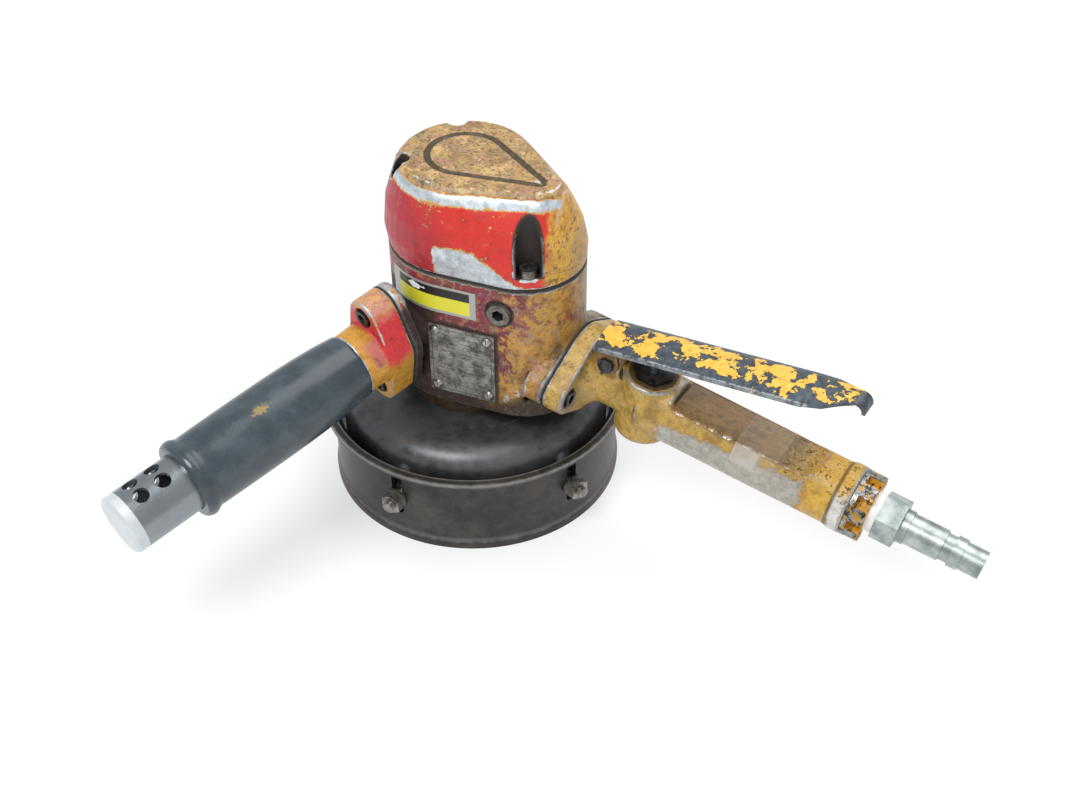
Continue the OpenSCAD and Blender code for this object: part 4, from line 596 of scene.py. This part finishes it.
# The label: a blank foil strip with a silver border, a dark band and a yellow field,
# stuck round the side of the housing and torn at its top.
def label_finish():
    """Silver border, a dark band over a yellow field, white where it is torn, and dust."""
    material, place = new_finish("foil_label")
    (left, _, foot), (right, _, head) = corners("sticker")
    across, up = place.along((1, 0, 0)), place.along(UP)
    cloud, fleck = place.spots(6, 4, 0.6), place.spots(0.8, 4, 0.7)
    inside = across.rise(left + 2.8, left + 3.2) * across.fall(right - 3.6, right - 3.2)
    inside = inside * up.rise(foot + 1.6, foot + 1.9) * up.fall(head - 1.6, head - 1.3)
    band = up.rise(foot + 10.4, foot + 10.7)
    torn = (up - head + 4.1).size() * 0.25 + (across - left - 10).size() * 0.12
    tear = (torn + (cloud - 0.5) * 2.2).fall(0.55, 0.65)
    field = band.cover(cloud.cover(hue("C9C22A"), hue("E6DF3E")), hue("1D1C1A"))
    colour = inside.cover(fleck.cover(hue("8E8E8A"), hue("BDBDB8")), field)
    colour = tear.cover(colour, hue("E9E9E6"))
    dust = (cloud * 0.5 + fleck * 0.5).rise(0.56, 0.74) * 0.5
    colour = dust.cover(colour, hue("5B5347"))
    close_finish(place, colour, 0.38 + 0.3 * dust, 0.35 * (1 - inside), fleck * 0.4 + tear * 0.5, 0.0001)
    return material


dress(label_finish(), "sticker")


# The guard: a pressed steel dome screwed to the neck, and a rolled skirt that five bolts
# clamp to it through slots. Bare steel gone brown, polished at the rims, with painted highlights
# on the skirt's lip and above its foot.
def guard_finish(name, low, high, proud):
    """Old pressed steel from a dark to a light tone, brown in clouds; proud says where it is bright: rubbed
    metal, and on the skirt also painted highlights.
    """
    material, place = new_finish(name)
    flat = place.stretched((1, 1, 0))
    broad, mid = place.spots(30, 4, 0.6), place.spots(6, 5, 0.65, (8, 3, 1))
    fine = place.spots(0.9, 4, 0.7)
    tone = (broad * 0.55 + mid * 0.35 + fine * 0.1).rise(0.32, 0.7).cover(low, high)
    rust = (broad * 0.45 + mid * 0.35 + fine * 0.2).rise(0.50, 0.68) * 0.45
    colour = rust.cover(tone, hue("4C4037"))
    # Paler marks: rubbed metal on the dome, and rubbed metal with painted highlights on the skirt.
    paler = proud(flat.far((0, 0, 0)), place, mid, fine)
    colour = paler.cover(colour, hue("A9A6A2"))
    rough = 0.38 + 0.16 * (mid - 0.5) + 0.16 * rust + 0.1 * (fine - 0.5)
    close_finish(place, colour, rough, 0.6 * (1 - 0.5 * rust), broad * 0.2 + mid * 0.25 + fine * 0.12, 0.0001)
    return material


def dome_rubbed(reach, place, mid, fine):
    """A broken bright ring on the front of the dome's crown, and specks."""
    ring = (reach - 51.5 + (mid - 0.5) * 2).size().fall(0.2, 1.3) * (mid * 0.5 + fine * 0.5).rise(0.50, 0.62)
    specks = fine.rise(0.70, 0.74) * 0.6
    return (ring * place.along((0.05, -1, 0)).rise(38, 48)).most(specks) * 0.75


def skirt_rubbed_and_highlit(reach, place, mid, fine):
    """Bright lines on the edges of the skirt's rolled lip, rubbed metal and painted highlight, and a painted
    highlight above its foot.
    """
    lowest, highest = corners("guard_skirt")
    up, rim_r = place.along(UP), highest.x
    # The lip's two edge lines: rubbed metal and painted highlight.
    outer = (reach - rim_r + (mid - 0.5)).size().fall(0.2, 1.5)
    inner = (reach - rim_r + 4.4).size().fall(0.2, 1.2)
    lip = outer.most(inner) * up.rise(highest.z - 3, highest.z - 1)
    # A painted highlight along the top of the foot's bead.
    foot = (up - lowest.z - 5.5 + (mid - 0.5) * 2).size().fall(0.3, 2.2) * 0.5
    return lip.most(foot) * (0.25 + 0.9 * (mid - 0.2)) * 0.8


dress(guard_finish("dome_steel", hue("414142"), hue("717377"), dome_rubbed), "guard_dome")
dress(guard_finish("skirt_steel", hue("2E2C2A"), hue("504D4A"), skirt_rubbed_and_highlit), "guard_skirt")
clamp_steel = steel_finish("clamp_steel", hue("5C5854"), hue("B4AEA6"), 0.40, 0.6, 0.25)
dress(clamp_steel, "guard_bolts", "guard_spacers", "guard_washers", "guard_nuts")


# The dead handle: a flange casting with two lobes on the housing's left boss, whose top is
# red and whose foot is yellow, and a steel exhaust tube in a black rubber sleeve.
DEAD_OUT, DEAD_NEAR, DEAD_UP = (-0.7586, -0.6365, -0.1392), (0.6428, -0.7660, 0), (-0.1066, -0.0895, 0.9903)
DEAD_ROOT, FLANGE_FACE = 90, 73.5


def on_dead(place):
    """How far out, to the near side and up a place lies on the dead handle, in millimetres."""
    out = place.along(DEAD_OUT) - DEAD_ROOT * DEAD_OUT[2]
    return out, place.along(DEAD_NEAR), place.along(DEAD_UP) - DEAD_ROOT * DEAD_UP[2]


def flange_paint(place, broad, mid, fine):
    """Red above and yellow below, pinkish on the crown and on the neck's near side."""
    out, near, up = on_dead(place)
    turn = up + (broad - 0.5) * 16 + (mid - 0.5) * 9
    red = (mid * 0.6 + broad * 0.4).rise(0.36, 0.62).cover(hue("B01E34"), hue("DC3030"))
    yellow = (mid * 0.6 + broad * 0.4).rise(0.36, 0.62).cover(hue("A86E20"), hue("DCA43C"))
    pink = (mid * 0.5 + fine * 0.5).rise(0.4, 0.6).cover(hue("C79A4A"), hue("C47C84"))
    behind = out.fall(FLANGE_FACE, FLANGE_FACE + 3)
    face = (turn.rise(-4.1, 4.9) * behind).cover(yellow, red)
    face = (turn.rise(22.9, 29.9) * behind).cover(face, pink)
    neck = turn.rise(3.9, 7.9) * (near + (mid - 0.5) * 6).rise(7, 10)
    neck = neck * (1 - behind) * out.fall(FLANGE_FACE + 6, FLANGE_FACE + 11)
    return (neck * 0.8).cover(face, hue("B8586A"))


def flange_lost(place, broad, mid, fine):
    """Bare metal in flakes on the upper lobe."""
    out, near, up = on_dead(place)
    return (up + (mid - 0.5) * 10).rise(29, 34) * ((mid - 0.5) * 2.0 + (fine - 0.5) + 0.34)


dead_flange = cast_skin("dead_flange", "dead_flange_casting", 0.0006, 16)
dead_flange.data.materials.append(
    coat_finish("dead_flange_coat", flange_paint, OLD_YELLOW, 0.4, 0.35, flange_lost))


def lathe(name, outline, start, axis, steps=128):
    """A closed ring turned about an axis: outline lists how far along it and how far out, in millimetres."""
    axis = Vector(axis).normalized()
    side = axis.orthogonal().normalized()
    other = axis.cross(side)
    points, faces, count = [], [], len(outline)
    for i in range(steps):
        turn = 2 * math.pi * i / steps
        out = side * math.cos(turn) + other * math.sin(turn)
        points += [(Vector(start) + axis * x + out * r) / 1000 for x, r in outline]
        here, there = i * count, (i + 1) % steps * count
        for j in range(count):
            k = (j + 1) % count
            faces.append((here + j, here + k, there + k, there + j))
    mesh = bpy.data.meshes.new(name)
    mesh.from_pydata(points, [], faces)
    shape = bmesh.new()
    shape.from_mesh(mesh)
    bmesh.ops.recalc_face_normals(shape, faces=shape.faces)
    shape.to_mesh(mesh)
    shape.free()
    mesh.shade_smooth()
    mesh.set_sharp_from_angle(angle=math.radians(50))
    piece = bpy.data.objects.new(name, mesh)
    scene.collection.objects.link(piece)
    return piece


def rubber_finish():
    """Grey-black rubber, dusty and shiny from hands, with one yellow scuff on the near side."""
    material, place = new_finish("grip_rubber")
    cloud, fleck = place.spots(14, 4, 0.6), place.spots(1.4, 4, 0.7)
    out, near, up = on_dead(place)
    scuff = ((out - 148).size() * 0.11 + (up - 19.4).size() * 0.8 + (fleck - 0.5) * 3).fall(0.5, 0.9)
    dust = (cloud * 0.85 + fleck * 0.15).rise(0.36, 0.70)
    colour = (dust * 0.6).cover(hue("343E45"), hue("4E5A61"))
    colour = (scuff * near.rise(0, 6) * 0.8).cover(colour, hue("9A8146"))
    nick = fleck.rise(0.72, 0.75)
    relief = cloud * 0.4 + fleck * 0.1 - nick * 0.3
    close_finish(place, colour, 0.20 + 0.14 * dust + 0.08 * (fleck - 0.5), 0.0, relief, 0.0001)
    return material


SLEEVE_FROM, SLEEVE_TO, SLEEVE_BORE, SLEEVE_R = 87.5, 197, 16.6, 21.0
BELLY, BEAD, BEAD_HALF, BEAD_RISE = 140, 193.2, 5.0, 1.9
FLANGE_THIN, BEAD_THIN = 2.6, 0.55


def sleeve_radius(x):
    """The sleeve's radius along the tube: full at its belly, thin at the flange, with a bead near its end."""
    if x < BELLY:
        thin = FLANGE_THIN * ((BELLY - x) / (BELLY - SLEEVE_FROM)) ** 2.4
    else:
        thin = BEAD_THIN * ((x - BELLY) / (BEAD - BELLY)) ** 2
    bead = max(0.0, 1 - ((x - BEAD) / BEAD_HALF) ** 2) ** 1.5
    return SLEEVE_R - thin + BEAD_RISE * bead


def sleeve_outline():
    """The sleeve's section, from the tube out to its skin and back, with small rounds at both ends."""
    first, last = SLEEVE_FROM + 0.6, SLEEVE_TO - 0.6
    skin = [(x, sleeve_radius(x)) for x in np.linspace(first, last, 90)]
    first_r, last_r = skin[0][1], skin[-1][1]
    start = [(SLEEVE_FROM, SLEEVE_BORE), (SLEEVE_FROM, first_r - 0.8), (SLEEVE_FROM + 0.2, first_r - 0.3)]
    end = [(SLEEVE_TO - 0.15, last_r - 0.5), (SLEEVE_TO, last_r - 1.2), (SLEEVE_TO, SLEEVE_BORE)]
    return start + skin + end


sleeve = lathe("grip_sleeve", sleeve_outline(), (0, 0, DEAD_ROOT), DEAD_OUT)
sleeve.data.materials.append(rubber_finish())
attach(sleeve, "body")
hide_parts("dead_grip")
dress(plain_finish("tube_steel", hue("7A8186"), hue("989EA2"), 0.28, 0.85, 16), "exhaust_tube")
dress(plain_finish("end_cap_metal", hue("B9C0C4"), hue("D9DEE0"), 0.42, 0.3, 6), "exhaust_cap")


# The throttle handle: an aluminium casting in old yellow paint, worn to the metal below, with
# a sheet-steel lever on a pin, a push rod in the valve boss, and the air plug at its end.
THROTTLE_FAR, THROTTLE_UP = Vector(moves["lever_press"]["axis"]), -Vector(moves["plunger_push"]["axis"])
THROTTLE_OUT = THROTTLE_FAR.cross(THROTTLE_UP)
THROTTLE_ROOT = 72
NECK_AT, BOSS_AT, FLAT_FROM, FLAT_TO, COLLAR_AT = 83, 116, 133, 226, 231.4


def on_throttle(place):
    """How far out, to the far side and up a place lies on the throttle handle, in millimetres."""
    out = place.along(THROTTLE_OUT) - THROTTLE_ROOT * THROTTLE_OUT.z
    return out, place.along(THROTTLE_FAR), place.along(THROTTLE_UP) - THROTTLE_ROOT * THROTTLE_UP.z


def off_boss(out, side):
    """How far a place on the handle lies from the axis of the valve boss."""
    return ((out - BOSS_AT) * (out - BOSS_AT) + side * side).root()


def handle_paint(place, broad, mid, fine):
    """Tan to yellow paint, brown on the flat under the lever and pale on the end collar."""
    out, side, up = on_throttle(place)
    tan = (broad * 0.5 + mid * 0.5).rise(0.36, 0.62).cover(hue("86682C"), hue("C6A250"))
    orange = (mid * 0.7 + fine * 0.3).rise(0.36, 0.64).cover(hue("A9802A"), hue("D8AC42"))
    colour = (out + (broad - 0.5) * 50 + (mid - 0.5) * 20).rise(196, 222).cover(tan, orange)
    drawn = place.streaks((0, math.radians(8), math.radians(-35)), 1.6, 14)
    flat = (up + (drawn - 0.5) * 4).rise(10.5, 12.4)
    flat = flat * out.rise(FLAT_FROM, FLAT_FROM + 3) * out.fall(FLAT_TO - 7, FLAT_TO - 2)
    brown = (drawn * 0.2 + mid * 0.45 + broad * 0.35).rise(0.38, 0.60).cover(hue("503D20"), hue("8E7040"))
    colour = (flat * (out + (mid - 0.5) * 50).fall(FLAT_TO - 30, FLAT_TO)).cover(colour, brown)
    collar = (out + (mid - 0.5) * 2).rise(COLLAR_AT - 0.6, COLLAR_AT + 0.6)
    collar = collar * (up + (mid - 0.5) * 14).fall(10, 15)
    paler = (mid * 0.6 + fine * 0.4).rise(0.3, 0.7).cover(hue("B4B4B0"), hue("E2E4E3"))
    return (collar * 0.9).cover(colour, paler)


def handle_lost(place, broad, mid, fine):
    """Bare metal along the lower near side and on the rim of the valve boss."""
    out, side, up = on_throttle(place)
    ragged = (mid - 0.5) * 11 + (fine - 0.5) * 4
    lower = (up - (out - 130) * 0.08 + ragged).fall(2, 8) * side.fall(4, 10)
    lower = lower * (out + ragged).rise(FLAT_FROM - 9, FLAT_FROM)
    lower = lower * (out + ragged * 2).fall(FLAT_TO - 14, FLAT_TO)
    boss = (off_boss(out, side) - 15.6).size().fall(0.4, 1.8)
    boss = boss * (up + (mid - 0.5) * 2).rise(15, 16.6) * out.rise(98, 103)
    return lower.most(boss) * 0.68


def handle_dirt_and_shade(place, broad, mid, fine):
    """Painted shade on the boss top under the lever, dark along the flat's far edge, spots near the end, dirt
    in the creases.
    """
    out, side, up = on_throttle(place)
    # Painted shade under the lever, on the top of the valve boss.
    cover = (up + (mid - 0.5) * 3).rise(15, 17.6) * (off_boss(out, side) + (mid - 0.5) * 2).fall(13, 14.4)
    edge = (side - 13.2).size().fall(0.3, 1.8) * up.rise(9, 11)
    edge = edge * out.rise(FLAT_FROM, FLAT_FROM + 5) * out.fall(FLAT_TO - 36, FLAT_TO) * 0.8
    spots = (up + (mid - 0.5) * 4).rise(8, 12) * out.rise(FLAT_TO - 34, FLAT_TO - 22)
    spots = spots * (mid * 0.5 + fine * 0.5).rise(0.50, 0.60) * 0.9
    groove = (out - COLLAR_AT).size().fall(0.4, 1.6) * 0.8
    crease = (out - NECK_AT).size().fall(0, 4) * mid.rise(0.35, 0.6) * 0.5
    return (cover * 0.95).most(edge * mid.rise(0.35, 0.55)).most(spots).most(groove).most(crease)


handle = cast_skin("throttle_handle", "throttle_casting", 0.0008, 12, 8)
handle.data.materials.append(
    coat_finish("throttle_coat", handle_paint, hue("B98430"), 0.5, 0.5, handle_lost, handle_dirt_and_shade,
                ("8A867C", "BDB9AF")))


LEVER_FROM, LEVER_TO, LEVER_SLOPE, LEVER_HALF = 93.5, 226, 0.249, 13.6


def lever_finish():
    """Yellow paint left in flakes on the lever's top, and dark steel with a bright rim."""
    material, place = new_finish("flaked_lever")
    out, side, up = on_throttle(place)
    broad, mid = place.spots(15, 3, 0.5, (3, 9, 2), 0.6), place.spots(4.0, 5, 0.6, (12, 5, 8), 0.4)
    fine = place.spots(1.0, 4, 0.7)
    top = up - (out - LEVER_FROM) * LEVER_SLOPE
    keep = broad * 0.66 + mid * 0.34 + (fine - 0.5) * 0.06 - (side.size() - 8.5).most(0.0) * 0.035
    paint = keep.rise(0.472, 0.480) * top.rise(21, 24) * (out + (mid - 0.5) * 12).fall(LEVER_TO - 4, LEVER_TO)
    ears = top.fall(24, 30) * (mid * 0.7 + fine * 0.3).rise(0.42, 0.52) * 0.85
    steel = (mid * 0.6 + fine * 0.4).rise(0.3, 0.7).cover(hue("3A4148"), hue("667078"))
    rim = (side.size() - LEVER_HALF).size().fall(0.1, 0.7) * (mid * 0.6 + fine * 0.4).rise(0.4, 0.55)
    steel = (rim * 0.8).cover(steel, hue("B9BEC2"))
    yellow = (mid * 0.7 + fine * 0.3).rise(0.3, 0.7).cover(hue("DDA236"), hue("F0C354"))
    colour = paint.cover(ears.cover(steel, hue("A87C34")), yellow)
    lip = keep.rise(0.464, 0.472) * (1 - paint) * top.rise(21, 24)
    colour = (lip * 0.5).cover(colour, hue("23262A"))
    close_finish(place, colour, 0.40 - 0.06 * paint + 0.2 * (fine - 0.5), 0.6 * (1 - paint),
                 paint * 0.8 + mid * 0.15 + fine * 0.1, 0.0002)
    return material


RING_FROM, NOTCH_R = 240.2, 17.4


def inlet_finish():
    """Blackened ring with bright lands and old gold paint left in its notches."""
    material, place = new_finish("notched_ring")
    out, side, up = on_throttle(place)
    reach = (side * side + up * up).root()
    mid, fine = place.spots(3, 4, 0.6), place.spots(0.8, 4, 0.7)
    deep = reach.fall(NOTCH_R, NOTCH_R + 0.8) * out.rise(RING_FROM, RING_FROM + 0.8)
    gold = deep * (mid * 0.7 + fine * 0.3).rise(0.40, 0.47)
    steel = (mid * 0.6 + fine * 0.4).rise(0.42, 0.60).cover(hue("2E2A26"), hue("A2A4A4"))
    steel = (place.spots(4, 4, 0.6, (9, 60, 2)).rise(0.54, 0.60) * 0.9).cover(steel, hue("C08E2C"))
    paint = mid.rise(0.3, 0.7).cover(hue("B07C1C"), hue("E0AA3A"))
    colour = gold.cover(deep.cover(steel, hue("2C2622")), paint)
    relief = mid * 0.3 + gold * 0.5 + fine * 0.15
    close_finish(place, colour, 0.36 + 0.2 * deep, 0.6 * (1 - deep), relief, 0.00012)
    return material


def plug_finish():
    """Satin zinc plate with faint turning lines."""
    material, place = new_finish("plug_zinc")
    out, side, up = on_throttle(place)
    cloud, fleck = place.spots(7, 3, 0.5), place.spots(0.7, 3, 0.6)
    turned = (out * 6.0 + fleck).wave()
    tone = (cloud * 0.8 + fleck * 0.2).rise(0.3, 0.7).cover(hue("828C8B"), hue("B9C1BF"))
    stain = (cloud * 0.5 + fleck * 0.5).rise(0.62, 0.72) * 0.5
    colour = stain.cover(tone, hue("6E7472"))
    relief = fleck * 0.1 + turned * 0.03
    close_finish(place, colour, 0.30 + 0.1 * cloud + 0.03 * turned, 0.85, relief, 0.00005)
    return material


dress(lever_finish(), "throttle_lever")
dress(inlet_finish(), "inlet_bushing")
dress(plug_finish(), "air_plug")
dress(plain_finish("sealing_tape", hue("E6E8E8"), hue("F6F7F7"), 0.5, 0.0, 3), "thread_tape")


TAPE_FROM, TAPE_TO = 174.5, 197.5


def tape_finish():
    """Clear tape gone milky, with a white patch low on the near side."""
    material, place = new_finish("clear_tape")
    out, side, up = on_throttle(place)
    cloud, fleck = place.spots(9, 4, 0.6), place.spots(1.2, 4, 0.6)
    milky = side.fall(-13, -10) * out.fall(TAPE_TO - 10.5, TAPE_TO - 7.5)
    milky = milky * (up + (cloud - 0.5) * 5).rise(3, 5) * up.fall(11.8, 13.4)
    hem = (out - TAPE_FROM).size().least((out - TAPE_TO).size()).fall(0.2, 0.8)
    colour = cloud.cover(hue("B9A890"), hue("E8E6E2"))
    veil = 0.05 + 0.06 * (cloud - 0.5) + 0.4 * milky + 0.03 * hem
    close_finish(place, colour, 0.20 + 0.15 * fleck, 0.0, cloud * 0.4 + fleck * 0.2, 0.0001, Alpha=veil)
    return material


dress(tape_finish(), "grip_tape")


# Screw threads on the guard's five bolts: rolled ridges on the ends that stand out of the nuts.
def thread_tree():
    """Geometry Nodes tree: one ridge wound round a bolt's end, set out on a ring of bolts."""
    tree = bpy.data.node_groups.new("bolt_threads", "GeometryNodeTree")
    kinds = {"Turns": "Float", "Length": "Float", "Radius": "Float", "Ridge": "Float", "Reach": "Float",
             "Level": "Float", "Count": "Int", "First": "Float", "Material": "Material"}
    for socket, kind in kinds.items():
        tree.interface.new_socket(socket, in_out="INPUT", socket_type="NodeSocket" + kind)
    tree.interface.new_socket("Geometry", in_out="OUTPUT", socket_type="NodeSocketGeometry")

    def add(kind, links=(), **values):
        made = tree.nodes.new(kind)
        for key, value in values.items():
            setattr(made, key, value)
        for socket, source in dict(links).items():
            if hasattr(source, "is_output"):
                tree.links.new(source, made.inputs[socket])
            else:
                made.inputs[socket].default_value = source
        return made

    given = add("NodeGroupInput").outputs
    helix = add("GeometryNodeCurveSpiral", {"Resolution": 40, "Rotations": given["Turns"],
                                            "Start Radius": given["Radius"], "End Radius": given["Radius"],
                                            "Height": given["Length"]})
    ridge = add("GeometryNodeCurvePrimitiveCircle", {"Resolution": 4, "Radius": given["Ridge"]})
    wound = add("GeometryNodeCurveToMesh", {"Curve": helix.outputs[0], "Profile Curve": ridge.outputs[0],
                                            "Fill Caps": True})
    place = add("ShaderNodeCombineXYZ", {"X": given["Reach"], "Z": given["Level"]})
    laid = add("GeometryNodeTransform", {"Geometry": wound.outputs[0], "Translation": place.outputs[0],
                                         "Rotation": (0.0, math.pi / 2, 0.0)})
    spots = add("GeometryNodePoints", {"Count": given["Count"]})
    step = add("ShaderNodeMath", {0: 2 * math.pi, 1: given["Count"]}, operation="DIVIDE")
    index = add("GeometryNodeInputIndex")
    turn = add("ShaderNodeMath", {0: index.outputs[0], 1: step.outputs[0], 2: given["First"]},
               operation="MULTIPLY_ADD")
    spin = add("ShaderNodeCombineXYZ", {"Z": turn.outputs[0]})
    set_out = add("GeometryNodeInstanceOnPoints", {"Points": spots.outputs[0], "Instance": laid.outputs[0],
                                                   "Rotation": spin.outputs[0]})
    real = add("GeometryNodeRealizeInstances", {"Geometry": set_out.outputs[0]})
    coloured = add("GeometryNodeSetMaterial", {"Geometry": real.outputs[0], "Material": given["Material"]})
    add("NodeGroupOutput", {"Geometry": coloured.outputs[0]})
    return tree


def grow(name, tree, **sizes):
    """The plain mesh that a Geometry Nodes tree makes from the given sizes."""
    holder = bpy.data.objects.new(name, bpy.data.meshes.new(name + "_start"))
    scene.collection.objects.link(holder)
    maker = holder.modifiers.new("maker", "NODES")
    maker.node_group = tree
    for socket in tree.interface.items_tree:
        if socket.in_out == "INPUT":
            maker[socket.identifier] = sizes[socket.name]
    graph = bpy.context.evaluated_depsgraph_get()
    mesh = bpy.data.meshes.new_from_object(holder.evaluated_get(graph))
    holder.modifiers.clear()
    holder.data = mesh
    return holder


bolts_low, bolts_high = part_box("guard_bolts")
threads = grow("guard_bolt_threads", thread_tree(), Turns=3.0, Length=0.0026, Radius=0.00305, Ridge=0.0003,
               Reach=0.0919, Level=(bolts_low.z + bolts_high.z) / 2, Count=5, First=math.radians(-51.5),
               Material=clamp_steel)
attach(threads, "body")
